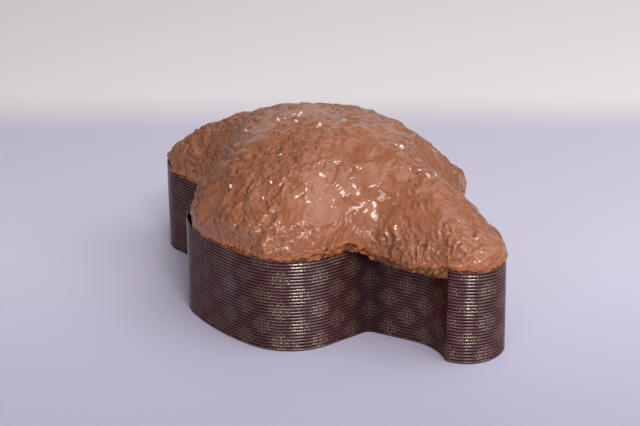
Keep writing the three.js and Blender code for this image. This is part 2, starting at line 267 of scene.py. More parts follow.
@dataclass
class DoveOutline:
    """The rounded outline of the dove: its tail end, its front half and their mirror image.

    The +Y side of the head leans in: fully from the second number of lean_x and lean_y on, and not at
    all before the first.
    """

    half_length: float = 152.75
    lip_end: float = 153.6
    end_radius: float = 120.0
    head_shift: float = 2.0
    rim_lean: float = 2.2
    lip_lean: float = 3.2
    lean_x: tuple[float, float] = (100.0, 145.0)
    lean_y: tuple[float, float] = (-5.0, 22.0)
    spacing: float = 1.15
    fewest_steps: float = 4.0
    corners: tuple[Corner, ...] = (
        Corner("tail", -151.0, -31.5, 25.0, -151.8, -32.5, 25.5),
        Corner("tail notch", -64.0, -31.0, 12.0, -66.0, -37.0, 30.0),
        Corner("wing towards tail", -54.5, -88.5, 30.0, -54.8, -89.0, 31.0),
        Corner("wing tip", -2.0, -101.8, 150.0, -2.0, -103.0, 150.0),
        Corner("wing towards head", 59.8, -93.0, 42.0, 60.4, -94.0, 43.0),
        Corner("head notch", 68.0, -27.8, 7.0, 69.5, -37.0, 20.0),
        Corner("neck", 116.3, -14.5, 38.0, 114.5, -31.8, 130.0),
        Corner("cheek", 132.8, -26.0, 2.5, 133.8, -27.2, 25.0),
        Corner("head", 152.75, -20.3, 25.4, 153.5, -21.2, 25.8),
    )
    case: np.ndarray = field(init=False)
    rim: np.ndarray = field(init=False)
    lip: np.ndarray = field(init=False)
    middle: int = field(init=False)

    def __post_init__(self) -> None:
        """Draws both outlines with the same number of points."""
        arcs = {course: self._arcs(course) for course in Course}
        arc_steps, side_steps = self._steps(arcs)
        self.case = self._drawn(arcs[Course.CASE], arc_steps, side_steps)
        self.rim = self._leaning(self.case, self.rim_lean)
        self.lip = self._leaning(self._drawn(arcs[Course.LIP], arc_steps, side_steps), self.lip_lean)
        self.middle = int(arc_steps[0]) // 2

    def _leaning(self, outline: np.ndarray, distance: float) -> np.ndarray:
        """The outline with the +Y side of the head moved in, towards -X and -Y alike.

        Args:
            outline: points, (count, 2).
            distance: the most that a point moves, in millimetres.

        Returns:
            The moved points, (count, 2).
        """
        share = smoothstep(outline[:, 0], *self.lean_x) * smoothstep(outline[:, 1], *self.lean_y)
        return outline - (distance * share * np.sqrt(0.5))[:, None]

    def _arcs(self, course: Course) -> dict[str, np.ndarray]:
        """Arcs that round the corners.

        The tangent length is radius * tan(turn / 2), and the centre lies one radius to the side.

        Args:
            course: the outline.

        Returns:
            Arrays 'start', 'end' and 'centre' (corners, 2) and 'turn' and 'radius' (corners).
        """
        tail_end = self.half_length if course is Course.CASE else self.lip_end
        front = [c.placed(course, 1, self.head_shift) for c in self.corners]
        back = [c.placed(course, -1, self.head_shift) for c in self.corners]
        table = np.array([(-tail_end, 0.0, self.end_radius), *front, *back[::-1]])
        place, radius = table[:, :2], table[:, 2]
        coming = unit(place - np.roll(place, 1, axis=0))
        going = np.roll(coming, -1, axis=0)
        cross = coming[:, 0] * going[:, 1] - coming[:, 1] * going[:, 0]
        turn = np.arctan2(cross, np.sum(coming * going, axis=1))
        tangent = (radius * np.tan(np.abs(turn) / 2.0))[:, None]
        left = np.stack([-coming[:, 1], coming[:, 0]], axis=1) * np.sign(turn)[:, None]
        start = place - tangent * coming
        centre = start + radius[:, None] * left
        end = place + tangent * going
        return {"start": start, "end": end, "centre": centre, "turn": turn, "radius": radius}

    def _steps(self, arcs: dict[Course, dict[str, np.ndarray]]) -> tuple[np.ndarray, np.ndarray]:
        """Steps in each arc and in the straight side after it, the same for both halves.

        Args:
            arcs: the arcs of both outlines.

        Returns:
            Whole numbers for the arcs and for the sides, one for each corner.
        """
        bend = np.max([np.abs(a["turn"]) * a["radius"] for a in arcs.values()], axis=0)
        sides = [np.roll(a["start"], -1, axis=0) - a["end"] for a in arcs.values()]
        gaps = [np.linalg.norm(side, axis=1) for side in sides]
        half = len(self.corners)
        arc_steps = 2 * np.ceil(np.maximum(bend / self.spacing, self.fewest_steps) / 2.0).astype(int)
        side_steps = 2 * np.ceil(np.max(gaps, axis=0) / self.spacing / 2.0).astype(int)
        arc_steps[half + 1 :] = arc_steps[half:0:-1]
        side_steps[half + 1 :] = side_steps[half - 1 :: -1]
        return arc_steps, side_steps

    def _drawn(
        self, arcs: dict[str, np.ndarray], arc_steps: np.ndarray, side_steps: np.ndarray
    ) -> np.ndarray:
        """Points along the arcs and the straight sides between them, counter-clockwise.

        Args:
            arcs: the arcs of one outline.
            arc_steps: steps in each arc.
            side_steps: steps in each straight side.

        Returns:
            Points, (count, 2).
        """
        parts = []
        for i, steps in enumerate(arc_steps):
            spoke = arcs["start"][i] - arcs["centre"][i]
            angle = (arcs["turn"][i] * np.arange(steps + 1) / steps)[:, None]
            across = np.array([-spoke[1], spoke[0]])
            parts.append(arcs["centre"][i] + spoke * np.cos(angle) + across * np.sin(angle))
            share = (np.arange(1, side_steps[i]) / side_steps[i])[:, None]
            target = arcs["start"][(i + 1) % len(arc_steps)]
            parts.append(arcs["end"][i] * (1.0 - share) + target * share)
        return np.concatenate(parts)


def outline_normals(outline: np.ndarray) -> np.ndarray:
    """Unit vectors that point out of a counter-clockwise outline, (count, 2)."""
    along = np.roll(outline, -1, axis=0) - np.roll(outline, 1, axis=0)
    return unit(np.stack([along[:, 1], -along[:, 0]], axis=1))


def outline_length(outline: np.ndarray) -> np.ndarray:
    """Length along a closed outline at each of its points, and the whole length at the end."""
    steps = np.linalg.norm(np.roll(outline, -1, axis=0) - outline, axis=1)
    return np.concatenate([[0.0], np.cumsum(steps)])


def distance_to_outline(points: np.ndarray, outline: np.ndarray) -> np.ndarray:
    """Distance from each point to the nearest point of a fine outline, (count,)."""
    gaps = np.linalg.norm(points[:, None, :] - outline[None, :, :], axis=2)
    return gaps.min(axis=1)


# ------------------------------------------------------------------ the risen dome


@dataclass
class RisenDome:
    """The dome of the dough: a low crest that falls to the lip all round the dove.

    Each row of shrunk is a place where the cake shrank from the paper: x, y, reach and depth.
    """

    outline: DoveOutline
    case_height: float = 65.0
    rise: float = 68.5
    base: float = 63.0
    top_x: float = -4.0
    flank_width: float = 43.0
    flank_power: float = 2.2
    slack_place: tuple[float, float] = (-62.0, -84.0)
    slack_reach: float = 37.0
    slack_share: float = 0.4
    reach_head: float = 191.0
    reach_tail: float = 176.0
    reach_front: float = 167.0
    reach_back: float = 133.0
    lip_to_edge: float = 2.2
    settled_in: float = 14.0
    rim_drop: float = 0.4
    droop_from: float = 1.2
    droop_ratio: float = 0.75
    droop_limit: float = 8.0
    shrunk: tuple[tuple[float, float, float, float], ...] = (
        (-50.0, -84.0, 16.0, 8.0),
        (-145.0, -29.0, 13.0, 4.5),
        (141.0, 25.0, 11.0, 0.6),
        (-30.0, 97.0, 12.0, 4.5),
        (-146.0, 22.0, 12.0, 4.5),
    )
    spine_share: float = 0.8
    table_rows: int = 170
    table_reach: float = 0.985
    block: int = 8192
    low: np.ndarray = field(init=False)
    lip: np.ndarray = field(init=False)
    reach: np.ndarray = field(init=False)
    table: np.ndarray = field(init=False)
    travelled: np.ndarray = field(init=False)

    def __post_init__(self) -> None:
        """Works out the dome once, as a fine table from the lip up to the spine."""
        self.lip = self.outline.lip - outline_normals(self.outline.lip) * self.pulled_in()[:, None]
        overhang = distance_to_outline(self.outline.lip, self.outline.rim)
        loose = np.maximum(overhang - self.droop_from, 0.0)
        sag = np.minimum(self.droop_limit, self.droop_ratio * loose)
        self.low = self.case_height - self.rim_drop - sag
        spine = self.spine()
        self.reach = np.linalg.norm(self.lip - spine, axis=1)
        share = np.linspace(0.0, 1.0, self.table_rows)[:, None] ** 2 * self.table_reach
        self.table = self.surface(share * self.reach)
        self.travelled = column_length(self.table)

    def _shrinking(self) -> np.ndarray:
        """How near each point of the rim is to each place where the cake shrank, (count, places)."""
        places = np.array(self.shrunk)
        return nearness(self.outline.case, places[:, :2], places[:, 2])

    def proud_rim(self) -> np.ndarray:
        """Share, 0 to 1, by which the paper's rim stands proud of the cake at each point."""
        return self._shrinking().max(axis=1)

    def pulled_in(self) -> np.ndarray:
        """How far the lip of the dough lies inside its usual place, in millimetres."""
        return (self._shrinking() * np.array(self.shrunk)[:, 3]).max(axis=1)

    def spine(self) -> np.ndarray:
        """Points along the ridge line over which the columns meet, (count, 2)."""
        x = self.lip[:, 0]
        shift = self.outline.head_shift * np.maximum(x, 0.0) / self.outline.half_length
        return np.stack([self.spine_share * x, shift], axis=1)

    def soft_distance(self, places: np.ndarray) -> np.ndarray:
        """Soft distance to the lip: pi over the integral of 1 / distance^2 along it.

        Args:
            places: (count, 2).

        Returns:
            Distances in millimetres, (count,).
        """
        lip = self.lip
        length = np.linalg.norm(np.roll(lip, -1, axis=0) - lip, axis=1)
        centres = (np.roll(lip, -1, axis=0) + lip) / 2.0
        total = np.zeros(len(places))
        for start in range(0, len(places), self.block):
            part = places[start : start + self.block, None]
            squared = (part[..., 0] - centres[:, 0]) ** 2 + (part[..., 1] - centres[:, 1]) ** 2
            total[start : start + self.block] = (length / np.maximum(squared, 0.05)).sum(axis=1)
        return np.pi / total

    def height_over_base(self, places: np.ndarray) -> np.ndarray:
        """Rise of the dome: crest * sqrt(1 - (1 - depth)^power), depth = soft distance / width.

        The width is greater beside one place, at the front wing's corner towards the tail.

        Args:
            places: (count, 2).

        Returns:
            Heights in millimetres, (count,).
        """
        x, y = places[:, 0] - self.top_x, places[:, 1]
        along = x / np.where(x > 0.0, self.reach_head, self.reach_tail)
        across = y / np.where(y > 0.0, self.reach_back, self.reach_front)
        crest = self.rise * (1.0 - along**2 - across**2)
        away = np.linalg.norm(places - np.array(self.slack_place), axis=1) / self.slack_reach
        width = self.flank_width * (1.0 + self.slack_share * np.exp(-(away**2)))
        depth = np.minimum(self.soft_distance(places) / width, 1.0)
        return crest * np.sqrt(1.0 - (1.0 - depth) ** self.flank_power)

    def surface(self, inwards: np.ndarray) -> np.ndarray:
        """The dome at given distances in from the lip, towards the spine.

        Args:
            inwards: millimetres in from the lip, (rows, columns).

        Returns:
            Places, (rows, columns, 3).
        """
        share = (inwards / self.reach)[..., None]
        flat = self.lip * (1.0 - share) + self.spine() * share
        rise = self.height_over_base(flat.reshape(-1, 2)).reshape(inwards.shape)
        rise = rise * smoothstep(inwards, -1e-3, 0.08)
        settled = smoothstep(inwards, 0.0, self.settled_in)
        ground = (self.low + self.lip_to_edge) * (1.0 - settled) + self.base * settled
        return np.concatenate([flat, (ground + rise)[..., None]], axis=2)

    def rows(self, start: np.ndarray, count: int) -> np.ndarray:
        """Rows at even lengths up the dome.

        Args:
            start: length up the dome where each column starts, below 0 for one that hangs lower.
            count: number of rows.

        Returns:
            Places, (count, columns, 3).
        """
        top = self.travelled[-1]
        share = np.linspace(0.0, 1.0, count)[:, None]
        wanted = start + (top - start) * share
        places = along_columns(self.table, self.travelled, np.maximum(wanted, 0.0))
        places[..., 2] += np.minimum(wanted, 0.0)
        return places


# ------------------------------------------------------------------ meshes


def ring_fill(ring: np.ndarray, middle: int) -> np.ndarray:
    """Quads that fill a ring by joining each point to its mirror image across the dove's axis.

    Args:
        ring: numbers of the ring's vertices, counter-clockwise.
        middle: which of them lies on the axis, at the tail.

    Returns:
        Vertex numbers, (faces, 4), facing upwards.
    """
    j = np.arange(len(ring) // 2)
    turns = (middle + j, middle + j + 1, middle - j - 1, middle - j)
    return np.stack([ring[turn % len(ring)] for turn in turns], axis=1)


def closed_mesh(name: str, grid: np.ndarray, middle: int) -> bpy.types.Mesh:
    """The mesh in metres of a grid closed along its columns, its first and last rings filled.

    It faces outwards where the rows rise. A face that has two corners in common becomes a triangle.

    Args:
        name: the mesh's name.
        grid: places in millimetres, (rows, columns, 3).
        middle: the column that lies on the dove's axis, at the tail.

    Returns:
        The mesh, with smooth faces, its vertices in the order of the grid.
    """
    number = np.arange(grid.shape[0] * grid.shape[1]).reshape(grid.shape[:2])
    beside = np.roll(number, -1, axis=1)
    sides = np.stack([number[:-1], beside[:-1], beside[1:], number[1:]], axis=-1).reshape(-1, 4)
    quads = np.concatenate([sides, ring_fill(number[0], middle)[:, ::-1], ring_fill(number[-1], middle)])
    repeated = quads == np.roll(quads, -1, axis=1)
    flat = repeated.any(axis=1)
    faces = [tuple(face) for face in quads[~flat].tolist()]
    faces += [tuple(face[~same].tolist()) for face, same in zip(quads[flat], repeated[flat])]
    mesh = bpy.data.meshes.new(name)
    mesh.from_pydata(grid.reshape(-1, 3) * MM, [], faces)
    mesh.update()
    mesh.polygons.foreach_set("use_smooth", np.ones(len(mesh.polygons), dtype=bool))
    return mesh


def held_inside(points: np.ndarray, node: str) -> np.ndarray:
    """Keeps places inside the box of a CAD node, less a hair.

    Args:
        points: (..., 3), in millimetres.
        node: the CAD node's name.

    Returns:
        The places, held inside.
    """
    low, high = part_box(node)
    hair = 0.02
    return np.clip(points, np.array(low) / MM + hair, np.array(high) / MM - hair)


def add_mask(mesh: bpy.types.Mesh, name: str, values: np.ndarray) -> None:
    """Stores one number for each vertex as an attribute that materials read by name."""
    attribute = mesh.attributes.new(name, "FLOAT", "POINT")
    attribute.data.foreach_set("value", values.astype(np.float32).ravel())


def add_unrolled_map(
    mesh: bpy.types.Mesh, along: np.ndarray, height: np.ndarray, around: float
) -> None:
    """Gives the mesh a UV map with the length along the case and the height, in metres.

    Where a face crosses the seam, its small lengths are raised by the length all round.

    Args:
        mesh: the mesh.
        along: length along the case at each vertex, in millimetres.
        height: height at each vertex, in millimetres.
        around: length all round, in millimetres.
    """
    corner = np.zeros(len(mesh.loops), dtype=np.int32)
    mesh.loops.foreach_get("vertex_index", corner)
    start = np.zeros(len(mesh.polygons), dtype=np.int32)
    size = np.zeros(len(mesh.polygons), dtype=np.int32)
    mesh.polygons.foreach_get("loop_start", start)
    mesh.polygons.foreach_get("loop_total", size)
    u = along[corner]
    highest = np.repeat(np.maximum.reduceat(u, start), size)
    u = np.where(highest - u > around / 2.0, u + around, u)
    uv = np.stack([u, height[corner]], axis=1) * MM
    mesh.uv_layers.new(name="unrolled").data.foreach_set("uv", uv.astype(np.float32).ravel())


def make_piece(
    name: str, mesh: bpy.types.Mesh, material: bpy.types.Material
) -> bpy.types.Object:
    """Makes the object of a mesh, dresses it, and lets it ride on the one body.

    Args:
        name: the piece's name.
        mesh: its mesh, in metres.
        material: its finish.

    Returns:
        The object.
    """
    piece = bpy.data.objects.new(name, mesh)
    bpy.context.scene.collection.objects.link(piece)
    mesh.materials.append(material)
    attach(piece, "root")
    LOG.info("%s: %d vertices, %d faces", name, len(mesh.vertices), len(mesh.polygons))
    return piece


# ------------------------------------------------------------------ node trees


class NodeSketch:
    """Short calls for drawing a node tree: a plain value is set on a socket, an output is linked."""

    def __init__(self, tree: bpy.types.NodeTree) -> None:
        """Starts on a tree, which may hold nodes already."""
        self.tree = tree

    def node(self, kind: str, **settings: object) -> bpy.types.Node:
        """Adds a node and sets its properties."""
        node = self.tree.nodes.new(kind)
        for key, value in settings.items():
            setattr(node, key, value)
        return node

    def feed(self, socket: bpy.types.NodeSocket, value: object) -> None:
        """Links a socket to another, or sets its value."""
        if isinstance(value, bpy.types.NodeSocket):
            self.tree.links.new(value, socket)
        else:
            socket.default_value = value

    def math(self, operation: str, *values: object) -> bpy.types.NodeSocket:
        """A Math node."""
        node = self.node("ShaderNodeMath", operation=operation)
        for socket, value in zip(node.inputs, values):
            self.feed(socket, value)
        return node.outputs[0]

    def times(self, first: object, second: object) -> bpy.types.NodeSocket:
        """A product of two numbers."""
        return self.math("MULTIPLY", first, second)

    def plus(self, first: object, second: object) -> bpy.types.NodeSocket:
        """A sum of two numbers."""
        return self.math("ADD", first, second)

    def minus(self, first: object, second: object) -> bpy.types.NodeSocket:
        """The first number less the second."""
        return self.math("SUBTRACT", first, second)

    def span(self, x: object, z: object) -> bpy.types.NodeSocket:
        """The length sqrt(x^2 + z^2)."""
        return self.math("SQRT", self.plus(self.times(x, x), self.times(z, z)))

    def centred(self, value: object, first: float, pitch: float) -> bpy.types.NodeSocket:
        """Distance from the nearest of evenly spaced places."""
        turns = self.plus(self.math("DIVIDE", self.minus(value, first), pitch), 0.5)
        return self.times(self.minus(self.math("FRACT", turns), 0.5), pitch)

    def parts(self, vector: object) -> bpy.types.NodeOutputs:
        """The three numbers of a vector."""
        node = self.node("ShaderNodeSeparateXYZ")
        self.feed(node.inputs[0], vector)
        return node.outputs

    def ramp(
        self, value: object, low: float, high: float, to_low: float = 0.0, to_high: float = 1.0
    ) -> bpy.types.NodeSocket:
        """A smooth step from to_low at low to to_high at high."""
        node = self.node("ShaderNodeMapRange", interpolation_type="SMOOTHSTEP")
        ends = {"From Min": low, "From Max": high, "To Min": to_low, "To Max": to_high}
        for key, number in ends.items():
            node.inputs[key].default_value = number
        self.feed(node.inputs["Value"], value)
        return node.outputs[0]

    def mix(self, factor: object, first: object, second: object) -> bpy.types.NodeSocket:
        """A mix of two colours."""
        node = self.node("ShaderNodeMix", data_type="RGBA", blend_type="MIX")
        self.feed(node.inputs["Factor"], factor)
        self.feed(node.inputs["A"], first)
        self.feed(node.inputs["B"], second)
        colours = [s for s in node.outputs if s.type == "RGBA"]
        return colours[0]

    def noise(
        self, place: object, scale: float, detail: float = 3.0, roughness: float = 0.55
    ) -> bpy.types.NodeSocket:
        """Noise from 0 to 1 with this many hills a metre."""
        node = self.node("ShaderNodeTexNoise")
        self.feed(node.inputs["Vector"], place)
        node.inputs["Scale"].default_value = scale
        node.inputs["Detail"].default_value = detail
        node.inputs["Roughness"].default_value = roughness
        return node.outputs["Fac"]

    def place(self) -> bpy.types.NodeSocket:
        """The place on the object, in metres."""
        return self.node("ShaderNodeTexCoord").outputs["Object"]

    def mask(self, name: str) -> bpy.types.NodeSocket:
        """A number stored on the mesh."""
        return self.node("ShaderNodeAttribute", attribute_name=name).outputs["Fac"]

    def bump(self, height: object, depth: float) -> bpy.types.NodeSocket:
        """A normal tilted by a height map of this depth, in metres."""
        node = self.node("ShaderNodeBump")
        node.inputs["Distance"].default_value = depth
        node.inputs["Strength"].default_value = 1.0
        self.feed(node.inputs["Height"], height)
        return node.outputs[0]


def new_material(name: str) -> tuple[bpy.types.Material, NodeSketch, bpy.types.Node]:
    """An empty material with one Principled shader.

    Args:
        name: the material's name.

    Returns:
        The material, a sketch on its tree, and the shader.
    """
    material = bpy.data.materials.new(name)
    material.use_nodes = True
    tree = material.node_tree
    shader = next(node for node in tree.nodes if node.type == "BSDF_PRINCIPLED")
    return material, NodeSketch(tree), shader


def new_group(
    name: str, inputs: dict[str, str], outputs: dict[str, str]
) -> tuple[bpy.types.NodeTree, NodeSketch]:
    """An empty node group with named sockets.

    Args:
        name: the group's name.
        inputs: socket types by name.
        outputs: socket types by name.

    Returns:
        The group and a sketch on it.
    """
    group = bpy.data.node_groups.new(name, "ShaderNodeTree")
    for title, kind in inputs.items():
        group.interface.new_socket(name=title, in_out="INPUT", socket_type=kind)
    for title, kind in outputs.items():
        group.interface.new_socket(name=title, in_out="OUTPUT", socket_type=kind)
    return group, NodeSketch(group)


NUMBER = "NodeSocketFloat"
VECTOR = "NodeSocketVector"


@dataclass(frozen=True)
class CrumbGrain:
    """Shared group: fine grain of something baked or set, as a height and a mask of its hollows, where the
    materials paint shade.
    """

    name: str = "crumb grain"
    cell_scale: float = 1.7
    cell_softness: float = 0.6
    cell_share: float = -0.6

    def group(self) -> bpy.types.NodeTree:
        """The group, built the first time it is asked for."""
        if self.name in bpy.data.node_groups:
            return bpy.data.node_groups[self.name]
        outputs = {"Height": NUMBER, "ShadedHollow": NUMBER}
        tree, sketch = new_group(self.name, {"Place": VECTOR, "Size": NUMBER}, outputs)
        inside = sketch.node("NodeGroupInput")
        outside = sketch.node("NodeGroupOutput")
        scaled = sketch.node("ShaderNodeVectorMath", operation="SCALE")
        sketch.feed(scaled.inputs[0], inside.outputs["Place"])
        sketch.feed(scaled.inputs["Scale"], inside.outputs["Size"])
        broad = sketch.noise(scaled.outputs[0], 1.0, 2.0, 0.5)
        cells = sketch.node("ShaderNodeTexVoronoi", feature="SMOOTH_F1")
        cells.inputs["Scale"].default_value = self.cell_scale
        cells.inputs["Smoothness"].default_value = self.cell_softness
        sketch.feed(cells.inputs["Vector"], scaled.outputs[0])
        height = sketch.plus(broad, sketch.times(cells.outputs["Distance"], self.cell_share))
        sketch.feed(outside.inputs["Height"], height)
        # The grain's hollows, which the materials darken as painted shade.
        sketch.feed(outside.inputs["ShadedHollow"], sketch.ramp(height, 0.3, 0.0))
        return tree

    def placed(self, sketch: NodeSketch, place: object, size: float) -> bpy.types.Node:
        """The group in a material.

        Args:
            sketch: the material's sketch.
            place: the coordinates it reads.
            size: grains in each metre.

        Returns:
            The group node, with outputs Height and Hollow.
        """
        node = sketch.node("ShaderNodeGroup", node_tree=self.group())
        sketch.feed(node.inputs["Place"], place)
        node.inputs["Size"].default_value = size
        return node


# ------------------------------------------------------------------ finishes


@dataclass(frozen=True)
class RosettePrint:
    """Gold rosettes on the paper: two staggered rows of flowers drawn with a thin line.

    A flower's line is where the distance from its middle equals
    size * (0.76 + 0.10 cos 4a - 0.17 cos 8a): four petals, each of two round lobes.
    """

    first: float = 0.2578
    pitch: float = 0.0268
    low_row: float = 0.0174
    row_pitch: float = 0.02225
    size: float = 0.0057
    stretch: float = 0.90
    line: float = 0.00034
    dot: float = 0.0003

    def flower(self) -> bpy.types.NodeTree:
        """Group that draws one flower round the origin, from X and Z in metres."""
        name = "gold rosette"
        if name in bpy.data.node_groups:
            return bpy.data.node_groups[name]
        tree, s = new_group(name, {"X": NUMBER, "Z": NUMBER}, {"Line": NUMBER})
        inside, outside = s.node("NodeGroupInput"), s.node("NodeGroupOutput")
        x = s.times(inside.outputs["X"], self.stretch)
        z = inside.outputs["Z"]
        radius = s.span(x, z)
        angle = s.math("ARCTAN2", z, x)
        four = s.math("COSINE", s.times(angle, 4.0))
        eight = s.math("COSINE", s.times(angle, 8.0))
        edge = s.plus(s.times(four, 0.10), s.times(eight, -0.17))
        edge = s.times(s.plus(edge, 0.76), self.size)
        outer = self._stroke(s, s.minus(radius, edge), self.line)
        petal = s.times(s.plus(s.times(four, 0.17), 0.33), self.size)
        inner = self._stroke(s, s.minus(radius, petal), self.line * 0.9)
        heart = s.ramp(radius, self.size * 0.15, self.size * 0.08)
        dots = self._dots(s, x, z)
        total = s.math("MAXIMUM", s.math("MAXIMUM", outer, inner), s.math("MAXIMUM", heart, dots))
        s.feed(outside.inputs["Line"], total)
        return tree

    def _stroke(self, s: NodeSketch, away: object, width: float) -> bpy.types.NodeSocket:
        """1 on a line and 0 off it, from the distance to its middle."""
        return s.ramp(s.math("ABSOLUTE", away), width * 1.3, width * 0.5)

    def _dots(self, s: NodeSketch, x: object, z: object) -> bpy.types.NodeSocket:
        """Four dots past the petals' ends: the nearer of (|x|, |z|) to a point on either axis."""
        across, up = s.math("ABSOLUTE", x), s.math("ABSOLUTE", z)
        far, near = s.math("MAXIMUM", across, up), s.math("MINIMUM", across, up)
        away = s.minus(far, self.size * 1.16)
        return s.ramp(s.span(away, near), 2.0 * self.dot, self.dot, 0.0, 0.6)

    def mask(self, s: NodeSketch, along: object, height: object) -> bpy.types.NodeSocket:
        """The gold over the whole wall.

        Args:
            s: the material's sketch.
            along: length along the case, in metres.
            height: height on the wall, in metres.

        Returns:
            1 on the gold and 0 off it.
        """
        rows = []
        for half in (0.0, 0.5):
            x = s.centred(along, self.first + half * self.pitch, self.pitch)
            z = s.centred(height, self.low_row + half * self.row_pitch, self.row_pitch)
            node = s.node("ShaderNodeGroup", node_tree=self.flower())
            s.feed(node.inputs["X"], x)
            s.feed(node.inputs["Z"], z)
            rows.append(node.outputs["Line"])
        return s.math("MAXIMUM", rows[0], rows[1])


@dataclass(frozen=True)
class PaperFinish:
    """Dark brown corrugated baking paper, coated, with a gold print and small vent holes."""

    ridge: Colour = (0.146, 0.031, 0.031, 1.0)
    # The valley colour is painted shade, in the valleys of the ridges and in the notches; the random cloud
    # darkens towards it too.
    valley_shade: Colour = (0.017, 0.0048, 0.0054, 1.0)
    gold: Colour = (0.21, 0.165, 0.112, 1.0)
    crumb: Colour = (0.55, 0.26, 0.06, 1.0)
    # The vent holes have no depth; their dark colour is painted shade.
    shaded_hole: Colour = (0.012, 0.006, 0.004, 1.0)
    vent_pitch: float = 0.07227
    vent_first: float = 0.2083
    vent_height: float = 0.0040
    vent_radius: float = 0.0016
    fibre_scale: float = 900.0
    cloud_scale: float = 28.0
    roughness: tuple[float, float] = (0.24, 0.34)
    notch_roughness: float = 0.4
    specular: float = 0.20
    coat: tuple[float, float] = (0.55, 0.8)
    coat_roughness: float = 0.19
    coat_ior: float = 1.7
    metal: float = 0.85
    fibre_depth: float = 0.00012
    rosettes: RosettePrint = RosettePrint()

    def material(self) -> bpy.types.Material:
        """Builds the material, which reads the masks 'ridge', 'wall' and 'gloss' on the mesh."""
        material, s, shader = new_material("baking_paper")
        uv = s.parts(s.node("ShaderNodeUVMap", uv_map="unrolled").outputs[0])
        along, height = uv[0], uv[1]
        fibre = s.noise(s.place(), self.fibre_scale, 4.0)
        cloud = s.noise(s.place(), self.cloud_scale, 3.0)
        gold = self._gold(s, along, height, fibre)
        ring, shaded_hole = self._vents(s, along, height, fibre)
        colour = s.mix(gold, self._paper(s, cloud), self.gold)
        colour = s.mix(s.times(ring, s.mask("wall")), colour, self.crumb)
        # Painted shade in the vent holes.
        colour = s.mix(s.times(shaded_hole, s.mask("wall")), colour, self.shaded_hole)
        s.feed(shader.inputs["Base Color"], colour)
        dull = s.ramp(s.mask("gloss_unshaded"), 0.0, 0.9, self.notch_roughness, 0.0)
        rough = s.plus(s.ramp(cloud, 0.3, 0.7, *self.roughness), dull)
        s.feed(shader.inputs["Roughness"], s.plus(rough, s.times(shaded_hole, 0.3)))
        s.feed(shader.inputs["Metallic"], s.times(gold, self.metal))
        shader.inputs["Specular IOR Level"].default_value = self.specular
        lacquer = s.times(s.mask("ridge"), s.mask("gloss_unshaded"))
        s.feed(shader.inputs["Coat Weight"], s.times(lacquer, s.ramp(cloud, 0.3, 0.6, *self.coat)))
        shader.inputs["Coat Roughness"].default_value = self.coat_roughness
        shader.inputs["Coat IOR"].default_value = self.coat_ior
        relief = s.minus(s.times(fibre, 0.25), s.times(shaded_hole, 4.0))
        s.feed(shader.inputs["Normal"], s.bump(relief, self.fibre_depth))
        return material

    def _paper(self, s: NodeSketch, cloud: object) -> bpy.types.NodeSocket:
        """The bare paper's colour: painted shade in the valleys of the ridges and in the notches, and
        darker in a faint random cloud.
        """
        ridge = s.mask("ridge")
        # Painted shade: the valleys between the ridges are darkened.
        paper = s.mix(s.times(ridge, ridge), self.valley_shade, self.ridge)
        paper = s.mix(s.ramp(cloud, 0.35, 0.7, 0.0, 0.35), paper, self.valley_shade)
        # Painted shade near the notches.
        return s.mix(s.ramp(s.mask("gloss_unshaded"), 0.0, 0.9, 0.85, 0.0), paper, self.valley_shade)

    def _gold(self, s: NodeSketch, along: object, height: object, fibre: object) -> bpy.types.NodeSocket:
        """The print, broken by the fibre, and fainter, as painted shade, in the notches and towards the
        tail.

        Args:
            s: the material's sketch.
            along: length along the case, in metres.
            height: height on the wall, in metres.
            fibre: noise of the paper's fibre.

        Returns:
            Share of gold, 0 to 1.
        """
        worn = s.times(self.rosettes.mask(s, along, height), s.ramp(fibre, 0.30, 0.5, 0.35, 1.0))
        # Painted shade: the gold is fainter towards the tail and near the notches.
        tail = s.ramp(s.parts(s.place())[0], -0.01, 0.035, 0.4, 1.0)
        dull = s.times(s.ramp(s.mask("gloss_unshaded"), 0.0, 0.9, 0.3, 1.0), tail)
        return s.times(worn, s.times(s.mask("wall"), dull))

    def _vents(
        self, s: NodeSketch, along: object, height: object, fibre: object
    ) -> tuple[bpy.types.NodeSocket, bpy.types.NodeSocket]:
        """Rings of crumb and the holes in them, which are painted dark as shade, near the foot of the
        wall.

        Args:
            s: the material's sketch.
            along: length along the case, in metres.
            height: height on the wall, in metres.
            fibre: noise that makes the rings uneven.

        Returns:
            Masks of the rings and of the holes.
        """
        x = s.centred(along, self.vent_first, self.vent_pitch)
        away = s.plus(s.span(x, s.minus(height, self.vent_height)), s.times(fibre, 0.0008))
        edge = s.ramp(away, self.vent_radius + 0.0006, self.vent_radius + 0.0001)
        ring = s.times(edge, s.ramp(fibre, 0.45, 0.55))
        return ring, s.ramp(away, self.vent_radius, self.vent_radius - 0.0004)


